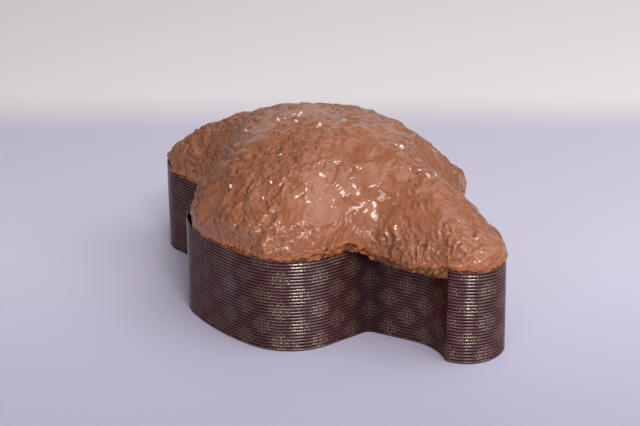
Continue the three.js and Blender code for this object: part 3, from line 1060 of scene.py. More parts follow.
@dataclass(frozen=True)
class CrustFinish:
    """Golden crust and torn crumb of the dough, which shows below the chocolate."""

    golden: Colour = (0.39, 0.120, 0.024, 1.0)
    # baked is the crust's own brown in random patches, and also the painted shade in the grain's hollows.
    baked: Colour = (0.110, 0.028, 0.008, 1.0)
    pale: Colour = (0.62, 0.28, 0.07, 1.0)
    grain_scale: float = 420.0
    grain_depth: float = 0.0009
    patch_scale: float = 160.0
    tear_scale: float = 310.0
    roughness: tuple[float, float] = (0.62, 0.8)

    def material(self) -> bpy.types.Material:
        """Builds the material: golden and baked brown in random patches, pale where torn, and painted
        shade, darker brown, in the grain's hollows.
        """
        material, s, shader = new_material("golden_crust")
        place = s.place()
        grain = CrumbGrain().placed(s, place, self.grain_scale)
        patch = s.noise(place, self.patch_scale, 3.0)
        colour = s.mix(s.ramp(patch, 0.36, 0.56), self.golden, self.baked)
        tear = s.ramp(s.noise(place, self.tear_scale, 2.0), 0.56, 0.7, 0.0, 0.8)
        colour = s.mix(tear, colour, self.pale)
        # Painted shade: the grain's hollows are darkened towards baked brown.
        colour = s.mix(s.times(grain.outputs["ShadedHollow"], 0.6), colour, self.baked)
        s.feed(shader.inputs["Base Color"], colour)
        s.feed(shader.inputs["Roughness"], s.ramp(patch, 0.3, 0.7, *self.roughness))
        s.feed(shader.inputs["Normal"], s.bump(grain.outputs["Height"], self.grain_depth))
        return material


@dataclass(frozen=True)
class ChocolateFinish:
    """Milk chocolate that set over a rough glaze: satin, glossier where it ran, with thin spots."""

    milk: Colour = (0.300, 0.109, 0.049, 1.0)
    lit: Colour = (0.355, 0.146, 0.076, 1.0)
    # Painted shade in the hollows of the relief and of the grain.
    shade_brown: Colour = (0.150, 0.042, 0.018, 1.0)
    thin: Colour = (0.50, 0.150, 0.035, 1.0)
    grain_scale: float = 210.0
    grain_depth: float = 0.0022
    cloud_scale: float = 45.0
    gloss_scale: float = 120.0
    roughness: tuple[float, float] = (0.40, 0.56)
    specular: float = 0.12
    coat: float = 0.72
    coat_roughness: float = 0.125

    def material(self) -> bpy.types.Material:
        """Builds the material: painted shade, deeper brown, in the hollows; lighter in a slow random
        cloud; thin places orange.
        """
        material, s, shader = new_material("milk_chocolate")
        place = s.place()
        grain = CrumbGrain().placed(s, place, self.grain_scale)
        cloud = s.noise(place, self.cloud_scale, 3.0)
        hollow_shade, thin, smooth = s.mask("hollow_shade"), s.mask("thin"), s.mask("smooth")
        colour = s.mix(s.ramp(cloud, 0.4, 0.68, 0.0, 0.75), self.milk, self.lit)
        spots = s.ramp(s.noise(place, self.grain_scale, 3.0), 0.60, 0.70)
        worn = s.math("MINIMUM", s.plus(thin, s.times(spots, s.times(thin, 0.6))), 1.0)
        colour = s.mix(worn, colour, self.thin)
        # Painted shade: the hollows of the relief and of the grain are darkened.
        colour = s.mix(s.times(hollow_shade, 0.95), colour, self.shade_brown)
        colour = s.mix(s.times(grain.outputs["ShadedHollow"], 0.30), colour, self.shade_brown)
        s.feed(shader.inputs["Base Color"], colour)
        rough = s.ramp(s.noise(place, self.gloss_scale, 3.0), 0.35, 0.65, *self.roughness)
        rough = s.minus(rough, s.times(smooth, 0.04))
        s.feed(shader.inputs["Roughness"], s.plus(rough, s.times(thin, 0.15)))
        relief = s.times(grain.outputs["Height"], s.minus(1.15, smooth))
        s.feed(shader.inputs["Normal"], s.bump(relief, self.grain_depth))
        shader.inputs["Specular IOR Level"].default_value = self.specular
        shader.inputs["Coat Weight"].default_value = self.coat
        shader.inputs["Coat Roughness"].default_value = self.coat_roughness
        return material


@dataclass(frozen=True)
class SaltFinish:
    """White flake salt, a little see-through, with frosted faces."""

    white: Colour = (0.82, 0.73, 0.68, 1.0)
    cloudy: Colour = (0.62, 0.49, 0.44, 1.0)
    vein_scale: float = 700.0
    vein_depth: float = 0.0002
    roughness: tuple[float, float] = (0.30, 0.55)
    see_through: float = 0.25
    light_reach: float = 0.002

    def material(self) -> bpy.types.Material:
        """Builds the material: white with cloudy veins."""
        material, s, shader = new_material("flake_salt")
        vein = s.noise(s.place(), self.vein_scale, 3.0)
        s.feed(shader.inputs["Base Color"], s.mix(s.ramp(vein, 0.4, 0.65), self.white, self.cloudy))
        s.feed(shader.inputs["Roughness"], s.ramp(vein, 0.3, 0.7, *self.roughness))
        s.feed(shader.inputs["Normal"], s.bump(vein, self.vein_depth))
        shader.inputs["Subsurface Weight"].default_value = self.see_through
        shader.inputs["Subsurface Scale"].default_value = self.light_reach
        return material


@dataclass(frozen=True)
class FloorFinish:
    """Pale matt table, with painted shade that makes it a little darker towards the camera, and paler far
    behind the cake.
    """

    pale: Colour = (0.64, 0.62, 0.76, 1.0)
    # near is painted shade, towards the camera.
    near: Colour = (0.41, 0.405, 0.55, 1.0)
    far: Colour = (0.92, 0.885, 0.90, 1.0)
    near_shade_from: tuple[float, float] = (-0.10, 0.38)
    far_from: tuple[float, float] = (-0.45, -0.65)
    roughness: float = 0.75

    def material(self) -> bpy.types.Material:
        """Builds the material: three tones from back to front, x - y, with the faintest cloud; the front
        tone is painted shade.
        """
        material, s, shader = new_material("pale_table")
        place = s.parts(s.place())
        forward = s.minus(place[0], place[1])
        forward = s.plus(forward, s.times(s.noise(s.place(), 3.0, 2.0), 0.06))
        # Painted shade: darker towards the camera.
        colour = s.mix(s.ramp(forward, *self.near_shade_from), self.pale, self.near)
        s.feed(shader.inputs["Base Color"], s.mix(s.ramp(forward, *self.far_from), colour, self.far))
        shader.inputs["Roughness"].default_value = self.roughness
        return material


# ------------------------------------------------------------------ the paper case


@dataclass
class PaperCase:
    """The corrugated case: ridges that run round the wall, a wavy rim and a flat floor.

    The mesh has a column at every second point of the outline. The lining's rows lie at shares of the
    rim's height. Near the four notches of the outline, within about notch_reach, the paper is dull and
    painted darker as shade.
    """

    outline: DoveOutline
    dome: RisenDome
    height: float = 65.0
    thickness: float = 1.0
    floor_top: float = 1.2
    ridges: int = 29
    rows_a_ridge: int = 8
    ridge_depth: float = 0.55
    ridge_power: float = 1.4
    ridge_middle: float = 0.55
    inset: float = 0.15
    sway: float = 0.45
    sway_width: tuple[float, float] = (46.0, 90.0)
    rim_drop: float = 0.25
    rim_wave: float = 0.35
    rim_wave_width: float = 24.0
    rim_rise: float = 3.6
    every: int = 2
    lining_rows: tuple[float, ...] = (1.0, 0.97, 0.9, 0.8, 0.6, 0.3)
    notches: tuple[tuple[float, float], ...] = ((68.0, -28.0), (68.0, 28.0), (-64.0, -31.0), (-64.0, 31.0))
    notch_reach: float = 18.0
    finish: PaperFinish = PaperFinish()

    def wall(self, along: np.ndarray, rim: np.ndarray) -> tuple[np.ndarray, np.ndarray]:
        """The outer face of the wall, still upright all round.

        It lies outside the outline by depth * (ridge - middle) + sway * noise - inset, where
        ridge = ((1 - cos(2 pi z / pitch)) / 2)^power.

        Args:
            along: length along the outline, (columns,).
            rim: height of the rim at each point, (columns,).

        Returns:
            Places (rows, columns, 3) and the ridge mask (rows, columns).
        """
        rows = self.ridges * self.rows_a_ridge + 1
        share = np.linspace(0.0, 1.0, rows)[:, None]
        z = share * rim[None, :]
        phase = z / (self.height / self.ridges)
        ridge = ((1.0 - np.cos(2.0 * np.pi * phase)) / 2.0) ** self.ridge_power
        wide, high = self.sway_width
        spot = np.stack([np.broadcast_to(along / wide, z.shape), z / high, np.zeros_like(z)], axis=-1)
        slow = self.sway * gradient_noise(spot, 11) * np.sin(np.pi * share) ** 0.5
        out = self.ridge_depth * (ridge - self.ridge_middle) + slow - self.inset
        normal = outline_normals(self.outline.case)[:: self.every]
        flat = self.outline.case[:: self.every] + normal * out[..., None]
        return np.concatenate([flat, z[..., None]], axis=2), ridge

    def lining(self, rim: np.ndarray) -> np.ndarray:
        """The inner face, from the rim down to the top of the floor, (rows, columns, 3)."""
        depths = np.array(self.lining_rows)[:, None] * rim[None, :]
        depths = np.concatenate([depths, np.full((1, len(rim)), self.floor_top)])
        inside = self.outline.case - outline_normals(self.outline.case) * self.thickness
        flat = np.broadcast_to(inside[:: self.every], (*depths.shape, 2))
        return np.concatenate([flat, depths[..., None]], axis=2)

    def rim_height(self, along: np.ndarray) -> np.ndarray:
        """Height of the rim: a slow wave, and higher where it stands proud of the cake."""
        wave = self.rim_wave * line_noise(along, self.rim_wave_width, 5)
        proud = self.dome.proud_rim()[:: self.every]
        return self.height - self.rim_drop + wave + self.rim_rise * proud

    def build(self) -> bpy.types.Object:
        """Builds and dresses the case.

        Returns:
            The piece that stands for the CAD node paper_case.
        """
        length = outline_length(self.outline.case)
        along = length[:-1][:: self.every]
        rim = self.rim_height(along)
        outer, ridge = self.wall(along, rim)
        inner = self.lining(rim)
        grid = np.concatenate([outer, inner])
        lean = (self.outline.rim - self.outline.case)[:: self.every]
        grid[..., :2] += lean[None] * (grid[..., 2:] / self.height)
        grid[..., :2] = held_inside(grid, "paper_case")[..., :2]
        mesh = closed_mesh("corrugated_case", grid, self.outline.middle // self.every)
        around = np.broadcast_to(along, grid.shape[:2])
        add_unrolled_map(mesh, around.ravel(), grid[..., 2].ravel(), length[-1])
        blank = np.zeros(inner.shape[:2])
        # 1 away from the notches; near them the paper is rougher and loses its coat, and its colour and
        # gold are darkened as painted shade.
        gloss_unshaded = 1.0 - nearness(grid[..., :2], np.array(self.notches), self.notch_reach).max(axis=-1)
        add_mask(mesh, "ridge", np.concatenate([ridge, blank + 0.5]))
        add_mask(mesh, "wall", np.concatenate([np.ones(ridge.shape), blank]))
        add_mask(mesh, "gloss_unshaded", gloss_unshaded)
        piece = make_piece("corrugated_case", mesh, self.finish.material())
        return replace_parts(piece, "paper_case")


# ------------------------------------------------------------------ the dough


@dataclass
class Dough:
    """The baked dough: straight in the case, torn and golden where it rose over the rim.

    Its skirt is the part of the dome that lies under the chocolate: fine_rows of its rows are kept near
    the lip, and every coarse_step-th one above them.
    """

    outline: DoveOutline
    dome: RisenDome
    paper: float = 1.0
    floor_top: float = 1.55
    clearance: float = 0.35
    above_rim: float = 0.3
    fringe_steps: tuple[int, ...] = (1, 1, 5, 3)
    knobs: float = 1.4
    knob_width: float = 3.1
    skirt_rows: int = 60
    fine_rows: int = 8
    coarse_step: int = 6
    below_coat: float = 0.25
    finish: CrustFinish = CrustFinish()

    def fringe(self) -> np.ndarray:
        """Rows from the inside of the rim, over and down outside it, and out and up to the lip.

        Returns:
            Places, (rows, columns, 3).
        """
        rim_line = self.outline.rim
        lip = self.dome.lip - outline_normals(self.dome.lip) * self.clearance
        out = outline_normals(rim_line)
        proud = self.dome.proud_rim()[:, None]
        pulled = self.dome.pulled_in()[:, None]
        inside = rim_line - out * (self.paper + self.clearance + pulled)
        outside = rim_line + out * (self.clearance - proud - pulled)
        low = self.dome.low + 2.0 * proud[:, 0]
        rim = np.full(len(rim_line), self.dome.case_height + self.above_rim)
        stops = [
            (inside, rim),
            (outside, rim),
            (outside, low + 0.25),
            (0.55 * outside + 0.45 * lip, low - 0.1),
            (lip, low + 1.2),
        ]
        corners = np.stack([np.concatenate([flat, z[:, None]], axis=1) for flat, z in stops])
        parts = [corners[:1]]
        for k, steps in enumerate(self.fringe_steps):
            share = (np.arange(1, steps + 1) / steps)[:, None, None]
            parts.append(corners[k] * (1.0 - share) + corners[k + 1] * share)
        return np.concatenate(parts)

    def build(self) -> bpy.types.Object:
        """Builds and dresses the dough.

        Returns:
            The piece that stands for the CAD node cake_body.
        """
        case = self.outline.case
        inside = case - outline_normals(case) * (self.paper + self.clearance)
        floor = np.concatenate([inside, np.full((len(case), 1), self.floor_top)], axis=1)[None]
        skirt = self.dome.rows(np.zeros(len(case)), self.skirt_rows)
        depth = coat_depth(column_length(skirt)) + self.below_coat
        skirt = skirt - grid_normals(skirt) * depth[..., None]
        near, far = skirt[: self.fine_rows], skirt[self.fine_rows :: self.coarse_step]
        body = self.knobbly(np.concatenate([self.fringe(), near]))
        grid = held_inside(np.concatenate([floor, body, far]), "cake_body")
        mesh = closed_mesh("baked_dough", grid, self.outline.middle)
        piece = make_piece("baked_dough", mesh, self.finish.material())
        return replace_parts(piece, "cake_body")

    def knobbly(self, body: np.ndarray) -> np.ndarray:
        """Adds the torn crust's knobs: noise, plus half as much of about half the width.

        The first three rows, which lie in the case and on its rim, stay smooth.

        Args:
            body: places, (rows, columns, 3).

        Returns:
            The places with their relief, (rows, columns, 3).
        """
        finer = gradient_noise(body / 1.6, 22)
        relief = self.knobs * (gradient_noise(body / self.knob_width, 21) + 0.5 * finer)
        relief[:3] = 0.0
        return body + grid_normals(body) * relief[..., None]


def coat_depth(travelled: np.ndarray) -> np.ndarray:
    """Thickness of the chocolate at a length up the dome: thin at its edge, then full."""
    at_edge, more, full_from = 0.7, 2.6, 16.0
    return at_edge + more * smoothstep(travelled, 0.0, full_from)


# ------------------------------------------------------------------ the chocolate


@dataclass(frozen=True)
class Band:
    """One kind of relief: noise of this width and height in millimetres, on places that are bent."""

    width: float
    height: float
    bent: float
    seed: int

    def noise(self, place: np.ndarray, bend: np.ndarray) -> np.ndarray:
        """Its noise from about -1 to 1, before the height comes in, (...)."""
        return gradient_noise(place / self.width + self.bent * bend, self.seed)


@dataclass
class ChocolateCoat:
    """The chocolate: lumpy and wrinkled, with an uneven lower edge and runs down the neck.

    Each row of pools is a round place where it set smooth: x, y and reach. Each row of nodules is a bud
    on the tail: x, y, z, reach and height. Each row of torn is a place where the lower edge lies higher
    and bares the crust: x, y, reach and rise. Each row of edge_waves is a wave of the lower edge: width,
    height and seed. The neck and the cheek have their middle's x and their reach.
    """

    outline: DoveOutline
    dome: RisenDome
    rows: int = 92
    inner_every: int = 6
    swells: Band = Band(30.0, 2.2, 0.0, 45)
    lumps: Band = Band(12.0, 1.6, 0.4, 46)
    blobs: Band = Band(7.6, 1.15, 0.7, 53)
    wrinkles: Band = Band(9.5, 0.85, 0.8, 47)
    fine: Band = Band(4.2, 0.50, 0.6, 48)
    folds: Band = Band(1.0, 2.3, 1.1, 49)
    pits: float = 1.1
    pit_cell: float = 15.0
    neck_at: tuple[float, float] = (102.0, 26.0)
    cheek_at: tuple[float, float] = (118.0, 30.0)
    tail_from: tuple[float, float] = (55.0, 105.0)
    edge: float = -1.0
    edge_limits: tuple[float, float] = (-2.8, 3.6)
    edge_waves: tuple[tuple[float, float, int], ...] = ((30.0, 1.4, 31), (9.0, 1.6, 32), (3.5, 1.6, 33))
    pools: tuple[tuple[float, float, float], ...] = (
        (58.0, -57.0, 13.0),
        (47.0, -74.0, 9.0),
        (141.0, -19.0, 10.0),
        (60.0, -40.0, 8.0),
        (112.0, -26.0, 9.0),
        (84.0, -14.0, 14.0),
        (104.0, -5.0, 13.0),
        (124.0, 1.0, 11.0),
        (147.0, 2.0, 9.0),
    )
    nodules: tuple[tuple[float, float, float, float, float], ...] = (
        (-98.0, -24.0, 96.0, 3.6, 2.4),
        (-101.0, -31.0, 86.0, 3.4, 2.2),
        (-116.0, -22.0, 92.0, 3.0, 1.8),
        (-88.0, -34.0, 95.0, 2.8, 1.6),
        (-112.0, -33.0, 80.0, 2.6, 1.6),
    )
    torn: tuple[tuple[float, float, float, float], ...] = (
        (66.0, -38.0, 20.0, 5.5),
        (58.0, -62.0, 14.0, 3.0),
        (90.0, -32.0, 18.0, 3.2),
        (118.0, -33.0, 12.0, 4.2),
        (66.0, 38.0, 20.0, 2.4),
        (-66.0, -42.0, 16.0, 2.0),
    )
    finish: ChocolateFinish = ChocolateFinish()
    grid: np.ndarray = field(init=False)

    def lower_edge(self, along: np.ndarray) -> np.ndarray:
        """Where the edge lies up the dome: waves of three widths, and higher where it is torn.

        Args:
            along: length along the lip, (columns,).

        Returns:
            Millimetres up the dome, below 0 where the edge hangs lower than the lip, (columns,).
        """
        waves = sum(high * line_noise(along, wide, seed) for wide, high, seed in self.edge_waves)
        torn = np.array(self.torn)
        bare = (nearness(self.dome.lip, torn[:, :2], torn[:, 2]) * torn[:, 3]).max(axis=-1)
        uneven = 1.0 + 0.9 * line_noise(along, 6.0, 34)
        return np.clip(self.edge + waves, *self.edge_limits) + bare * uneven

    def zones(self, place: np.ndarray, up: np.ndarray) -> dict[str, np.ndarray]:
        """Masks of the places where the chocolate set in its own way.

        It is smooth in the pools and, where a slow noise allows, towards the top, the head and +Y. The
        neck has runs on its front side, and the cheek, low on the head's front side, has fine wrinkles.
        'rough' is 1 away from smooth places and from the runs.

        Args:
            place: the smooth dome, (rows, columns, 3).
            up: length up the dome, (rows, columns).

        Returns:
            Arrays 'smooth', 'tail', 'neck', 'cheek' and 'rough', (rows, columns).
        """
        x, y, z = place[..., 0], place[..., 1], place[..., 2]
        lean = z / 130.0 + (0.5 * x + y) / 280.0 - 0.80
        smooth = smoothstep(gradient_noise(place / 30.0 + 3.0, 44) + lean, -0.25, 0.35)
        pools = np.array(self.pools)
        smooth = np.maximum(smooth, nearness(place[..., :2], pools[:, :2], pools[:, 2]).max(axis=-1))
        neck = hump(x, *self.neck_at) * (y < 0.0)
        cheek = hump(x, *self.cheek_at) * smoothstep(-y, 2.0, 16.0) * smoothstep(-up, -36.0, -12.0)
        rough = 1.0 - 0.85 * np.maximum(smooth, neck * smoothstep(-up, -46.0, -20.0))
        tail = smoothstep(-x, *self.tail_from)
        return {"smooth": smooth, "tail": tail, "neck": neck, "cheek": cheek, "rough": rough}

    def runs(self, up: np.ndarray, along: np.ndarray, bend: np.ndarray) -> np.ndarray:
        """Runs down the slope: creases 1 - 2.2 |noise| that are long up the dome and short along it.

        The places are scaled here, so the folds' own width is 1.

        Args:
            up: length up the dome, (rows, columns).
            along: length along the lip, (columns,).
            bend: what bends the places, (rows, columns, 3).

        Returns:
            Heights as shares of the folds' height, faded out up the dome, (rows, columns).
        """
        flow = np.stack([np.broadcast_to(along / 6.0, up.shape), up / 15.0, np.zeros_like(up)], axis=-1)
        return (1.0 - 2.2 * np.abs(self.folds.noise(flow, bend))) * smoothstep(-up, -38.0, -16.0)

    def buds(self, place: np.ndarray) -> np.ndarray:
        """Heights of the nodules on the tail: height * exp(-(distance / reach)^2), (rows, columns)."""
        bud = np.array(self.nodules)
        return (nearness(place, bud[:, :3], bud[:, 3]) * bud[:, 4]).sum(axis=-1)

    def relief(self, place: np.ndarray, up: np.ndarray, along: np.ndarray) -> dict[str, np.ndarray]:
        """Heights of the relief, in millimetres, before they are faded out at the edge.

        Swells and lumps are plain noise. Blobs are round on top and meet in creases:
        1.8 sqrt(|noise|) - 0.9. Wrinkles are (1 - 2.2 |noise|)^3, and the fine ones 1 - 2 |noise|. All but
        the swells lie on places that a slower noise has bent. Pits are small cones, one in each cell.

        Args:
            place: the smooth dome, (rows, columns, 3).
            up: length up the dome, (rows, columns).
            along: length along the lip, (columns,).

        Returns:
            Arrays 'height', 'hollow', 'smooth' and 'knob', (rows, columns).
        """
        bend = np.stack([gradient_noise(place / 14.0, seed) for seed in (41, 42, 43)], axis=-1)
        zone = self.zones(place, up)
        rough, tail, cheek = zone["rough"], zone["tail"], zone["cheek"]
        swell = self.swells.height * self.swells.noise(place, bend)
        lump = self.lumps.height * self.lumps.noise(place, bend)
        round_top = np.sqrt(np.abs(self.blobs.noise(place, bend))) * 1.8 - 0.9
        blob = self.blobs.height * round_top * (rough + 0.5 * tail)
        crease = np.clip(1.0 - np.abs(self.wrinkles.noise(place, bend)) * 2.2, -1.0, 1.0)
        wrinkle = self.wrinkles.height * crease**3 * (0.30 + 0.70 * rough)
        small = 1.0 - np.abs(self.fine.noise(place, bend)) * 2.0
        tiny = self.fine.height * small * (rough + 3.2 * cheek + 0.6 * tail)
        run = self.folds.height * self.runs(up, along, bend)
        run = run * (0.12 + 0.88 * np.maximum(zone["neck"], 0.8 * cheek))
        pit = self.pits * smoothstep(-cell_distance(place / self.pit_cell, 50), -0.105, -0.03)
        bud = self.buds(place)
        depth = pit - lump * 0.3 - blob * 0.8 - wrinkle - tiny - run * 0.7
        return {
            "height": swell + lump + blob + wrinkle + tiny + run + bud - pit,
            # Where the creases and the pits are painted darker as shade.
            "hollow_shade": np.maximum(smoothstep(depth, 0.2, 1.3), pit / self.pits),
            "smooth": zone["smooth"],
            "knob": np.clip(bud / 2.4, 0.0, 1.0),
        }

    def thinness(self, base: np.ndarray, up: np.ndarray, knob: np.ndarray) -> np.ndarray:
        """How thin the chocolate is: near its edge, in patches towards the tail, and on the nodules.

        Args:
            base: the smooth dome, (rows, columns, 3).
            up: length up from the edge, (rows, columns).
            knob: mask of the nodules, (rows, columns).

        Returns:
            Numbers from 0 to 1, (rows, columns).
        """
        edge = np.clip(1.0 - (up + 4.0 * gradient_noise(base / 4.0, 51)) / 6.0, 0.0, 1.0)
        patch = smoothstep(gradient_noise(base / 16.0, 52), 0.32, 0.7)
        patch = patch * smoothstep(-base[..., 0], 40.0, 130.0)
        return np.max([0.8 * edge, 0.5 * patch, 0.55 * knob], axis=0)

    def build(self) -> bpy.types.Object:
        """Builds and dresses the chocolate.

        Returns:
            The piece that stands for the CAD node chocolate_coating.
        """
        along = outline_length(self.dome.lip)[:-1]
        start = self.lower_edge(along)
        base = self.dome.rows(start, self.rows)
        up = column_length(base)
        normal = grid_normals(base)
        found = self.relief(base, up + start, along)
        fade = smoothstep(up, -1.5, 4.5)
        rounded = -0.5 * (1.0 - smoothstep(up, 0.0, 1.3))
        outer = base + normal * (found["height"] * fade + rounded)[..., None]
        self.grid = held_inside(outer, "chocolate_coating")
        inner = (base - normal * (coat_depth(up) - 0.1)[..., None])[:: -self.inner_every]
        mesh = closed_mesh("chocolate", np.concatenate([inner, self.grid]), self.outline.middle)
        blank = np.zeros(inner.shape[:2])
        # The hollows' painted shade, faded out at the edge like the relief.
        add_mask(mesh, "hollow_shade", np.concatenate([blank, found["hollow_shade"] * fade]))
        add_mask(mesh, "thin", np.concatenate([blank, self.thinness(base, up, found["knob"])]))
        add_mask(mesh, "smooth", np.concatenate([blank, found["smooth"]]))
        piece = make_piece("chocolate", mesh, self.finish.material())
        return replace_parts(piece, "chocolate_coating")

    def top_at(self, x: float, y: float) -> tuple[np.ndarray, np.ndarray]:
        """Place and outward direction of the chocolate over a point on the ground.

        Args:
            x: place along the dove, in millimetres.
            y: place across it, in millimetres.

        Returns:
            The nearest vertex of the outer face, and its direction.
        """
        away = (self.grid[..., 0] - x) ** 2 + (self.grid[..., 1] - y) ** 2
        spot = np.unravel_index(np.argmin(away), away.shape)
        return self.grid[spot], grid_normals(self.grid)[spot]


# ------------------------------------------------------------------ the salt


@dataclass
class SaltFlakes:
    """Flakes of salt: uneven broken crystals, set in the chocolate where the photograph shows them.

    Each row of places is a flake: x, y and size. Those larger than crumbs_from have a crumb beside them.
    Each row of rings is a ring of a crystal: its height and radius, as shares of the crystal's size.
    """

    coat: ChocolateCoat
    seed: int = 7
    sides: int = 5
    rings: tuple[tuple[float, float], ...] = ((-0.22, 0.36), (0.14, 0.5), (0.40, 0.22))
    crumbs_from: float = 3.0
    crumb_spread: float = 7.0
    crumb_sizes: tuple[float, float] = (1.0, 1.8)
    long_and_wide: tuple[float, float] = (1.15, 0.68)
    places: tuple[tuple[float, float, float], ...] = (
        (-18.0, -28.0, 4.2),
        (-12.4, -11.6, 3.4),
        (-7.6, -21.0, 3.6),
        (-10.5, -16.0, 2.4),
        (12.8, -18.0, 3.8),
        (18.8, -1.6, 2.0),
        (62.2, 7.8, 4.2),
        (79.6, -2.7, 2.8),
        (83.4, 2.2, 2.6),
        (89.5, 3.3, 3.6),
        (15.0, -56.6, 2.2),
        (23.4, -74.0, 2.8),
        (-2.2, -86.0, 2.4),
        (24.8, -82.0, 2.2),
        (-36.0, -41.0, 2.4),
        (-27.0, 80.0, 2.8),
        (-2.0, 82.0, 2.6),
        (-88.0, 6.0, 3.0),
    )
    finish: SaltFinish = SaltFinish()

    def crystal(self, random: np.random.Generator, size: float) -> np.ndarray:
        """One crystal round the origin: three uneven rings, the middle one the widest.

        Args:
            random: the source of chance.
            size: its length in millimetres.

        Returns:
            Places, (rings, sides, 3).
        """
        rings = np.array(self.rings)
        shape = (len(rings), self.sides)
        angle = np.linspace(0.0, 2.0 * np.pi, self.sides, endpoint=False)[None]
        angle = angle + random.uniform(-0.25, 0.25, shape)
        radius = size * rings[:, 1:] * random.uniform(0.55, 1.3, shape)
        z = size * rings[:, :1] + random.uniform(-0.12, 0.12, shape) * size
        length, width = self.long_and_wide
        return np.stack([length * radius * np.cos(angle), width * radius * np.sin(angle), z], axis=-1)

    def build(self) -> bpy.types.Object:
        """Builds and dresses all flakes as one piece.

        Returns:
            The piece, which stands beside the chocolate for the CAD node chocolate_coating.
        """
        random = np.random.default_rng(self.seed)
        points = [self.placed(random, *place) for place in self.all_places(random)]
        faces = [face + k * len(points[0]) for k in range(len(points)) for face in self.crystal_faces()]
        mesh = bpy.data.meshes.new("salt_flakes")
        places = held_inside(np.concatenate(points), "chocolate_coating") * MM
        mesh.from_pydata(places, [], [face.tolist() for face in faces])
        mesh.update()
        piece = make_piece("salt_flakes", mesh, self.finish.material())
        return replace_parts(piece, "chocolate_coating")

    def placed(self, random: np.random.Generator, x: float, y: float, size: float) -> np.ndarray:
        """A crystal that lies on the chocolate over x, y, turned by its place.

        Args:
            random: the source of chance.
            x: place along the dove, in millimetres.
            y: place across it, in millimetres.
            size: the crystal's length in millimetres.

        Returns:
            Places, (rings * sides, 3).
        """
        at, up = self.coat.top_at(x, y)
        side = unit(np.cross(up, np.array([np.cos(x), np.sin(x), 0.3])))
        turned = np.stack([side, np.cross(up, side), up])
        return (self.crystal(random, size) @ turned + at + up * 0.1 * size).reshape(-1, 3)

    def crystal_faces(self) -> list[np.ndarray]:
        """Vertex numbers of one crystal's faces: its sides ring by ring, its foot and its top."""
        i = np.arange(self.sides)
        j = (i + 1) % self.sides
        last = len(self.rings) - 1
        sides = np.stack([i, j, j + self.sides, i + self.sides], axis=1)
        faces = [quad + ring * self.sides for ring in range(last) for quad in sides]
        return [*faces, i[::-1], i + last * self.sides]

    def all_places(self, random: np.random.Generator) -> list[Place]:
        """The named places, and a small crumb of salt beside each of the larger flakes."""
        large = [place for place in self.places if place[2] > self.crumbs_from]
        crumbs = []
        for x, y, _ in large:
            aside, across = random.uniform(-self.crumb_spread, self.crumb_spread, 2)
            crumbs.append((x + aside, y + across, random.uniform(*self.crumb_sizes)))
        return [*self.places, *crumbs]


# ------------------------------------------------------------------ the studio


@dataclass(frozen=True)
class SoftLight:
    """A rectangular lamp aimed at the cake, in metres and watts."""

    name: str
    place: Place
    size: tuple[float, float]
    power: float
    colour: tuple[float, float, float]
    aim: Place = (0.0, 0.0, 0.06)

    def build(self) -> None:
        """Adds the lamp to the scene."""
        data = bpy.data.lights.new(self.name, "AREA")
        data.shape = "RECTANGLE"
        data.size, data.size_y = self.size
        data.energy = self.power
        data.color = self.colour
        lamp = bpy.data.objects.new(self.name, data)
        bpy.context.scene.collection.objects.link(lamp)
        lamp.location = self.place
        line = Vector(self.aim) - Vector(self.place)
        lamp.rotation_euler = line.to_track_quat("-Z", "Y").to_euler()


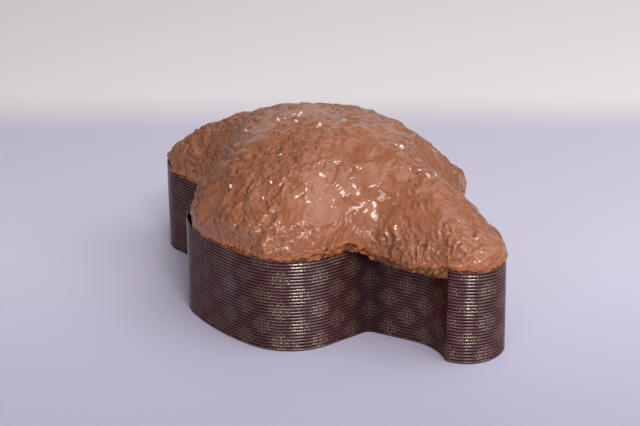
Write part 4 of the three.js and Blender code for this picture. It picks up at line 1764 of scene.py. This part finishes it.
@dataclass
class Studio:
    """Camera at the photograph's viewing angle, a pale floor and soft lights, in metres and watts.

    Two large lamps at the right and above light the cake. One stands behind it. The small ones draw the
    highlights on the chocolate's front and on the paper.
    """

    eye: Place = (0.64205, -0.64770, 0.42705)
    target: Place = (-0.10535, 0.0997, 0.0)
    lens: float = 78.75
    floor_size: float = 6.0
    lamps: tuple[SoftLight, ...] = (
        SoftLight("key", (1.10, 0.80, 1.40), (2.6, 2.2), 18.0, (1.0, 0.97, 0.94)),
        SoftLight("sky", (0.95, 0.15, 1.85), (2.4, 2.4), 17.5, (0.97, 0.96, 1.0)),
        SoftLight("back", (-1.25, 1.25, 0.95), (2.4, 1.0), 5.5, (1.0, 0.98, 0.95)),
        SoftLight("front", (0.93, -0.60, 1.00), (0.42, 0.26), 8.8, (1.0, 0.94, 0.93)),
        SoftLight("fill", (0.50, -1.20, 0.38), (0.66, 0.14), 3.9, (1.0, 0.95, 0.94)),
        SoftLight("side", (1.30, -0.10, 0.34), (0.44, 0.20), 2.7, (1.0, 0.94, 0.93)),
        SoftLight("left", (-0.42, -0.89, 0.78), (0.12, 0.08), 0.35, (1.0, 0.93, 0.90)),
    )
    air: Colour = (0.88, 0.86, 0.90, 1.0)
    air_strength: float = 0.165
    finish: FloorFinish = FloorFinish()

    def camera(self) -> None:
        """Adds the camera and makes it the scene's."""
        data = bpy.data.cameras.new("camera")
        data.lens = self.lens
        data.sensor_width = 36.0
        data.clip_start = 0.05
        camera = bpy.data.objects.new("camera", data)
        bpy.context.scene.collection.objects.link(camera)
        camera.location = self.eye
        aim = Vector(self.target) - Vector(self.eye)
        camera.rotation_euler = aim.to_track_quat("-Z", "Y").to_euler()
        bpy.context.scene.camera = camera

    def floor(self) -> None:
        """Adds the floor, which isn't part of the object."""
        mesh = bpy.data.meshes.new("table_top")
        size = self.floor_size
        corners = [(-size, -size, 0), (size, -size, 0), (size, size, 0), (-size, size, 0)]
        mesh.from_pydata(corners, [], [(0, 1, 2, 3)])
        floor = bpy.data.objects.new("table_top", mesh)
        bpy.context.scene.collection.objects.link(floor)
        mesh.materials.append(self.finish.material())

    def world(self) -> None:
        """Sets the even light from all round."""
        world = bpy.data.worlds.new("studio")
        world.use_nodes = True
        background = next(n for n in world.node_tree.nodes if n.type == "BACKGROUND")
        background.inputs["Color"].default_value = self.air
        background.inputs["Strength"].default_value = self.air_strength
        bpy.context.scene.world = world

    def build(self) -> None:
        """Sets up the camera, the floor, the lamps and the light from all round."""
        self.camera()
        self.floor()
        for lamp in self.lamps:
            lamp.build()
        self.world()
        bpy.context.scene.view_settings.view_transform = "Standard"


def main() -> None:
    """Builds the whole scene; each piece's vertex and face counts are logged as it is made."""
    logging.basicConfig(level=logging.INFO, format="%(name)s: %(message)s")
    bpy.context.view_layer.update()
    outline = DoveOutline()
    dome = RisenDome(outline)
    PaperCase(outline, dome).build()
    Dough(outline, dome).build()
    coat = ChocolateCoat(outline, dome)
    coat.build()
    SaltFlakes(coat).build()
    Studio().build()


if __name__ == "__main__":
    main()
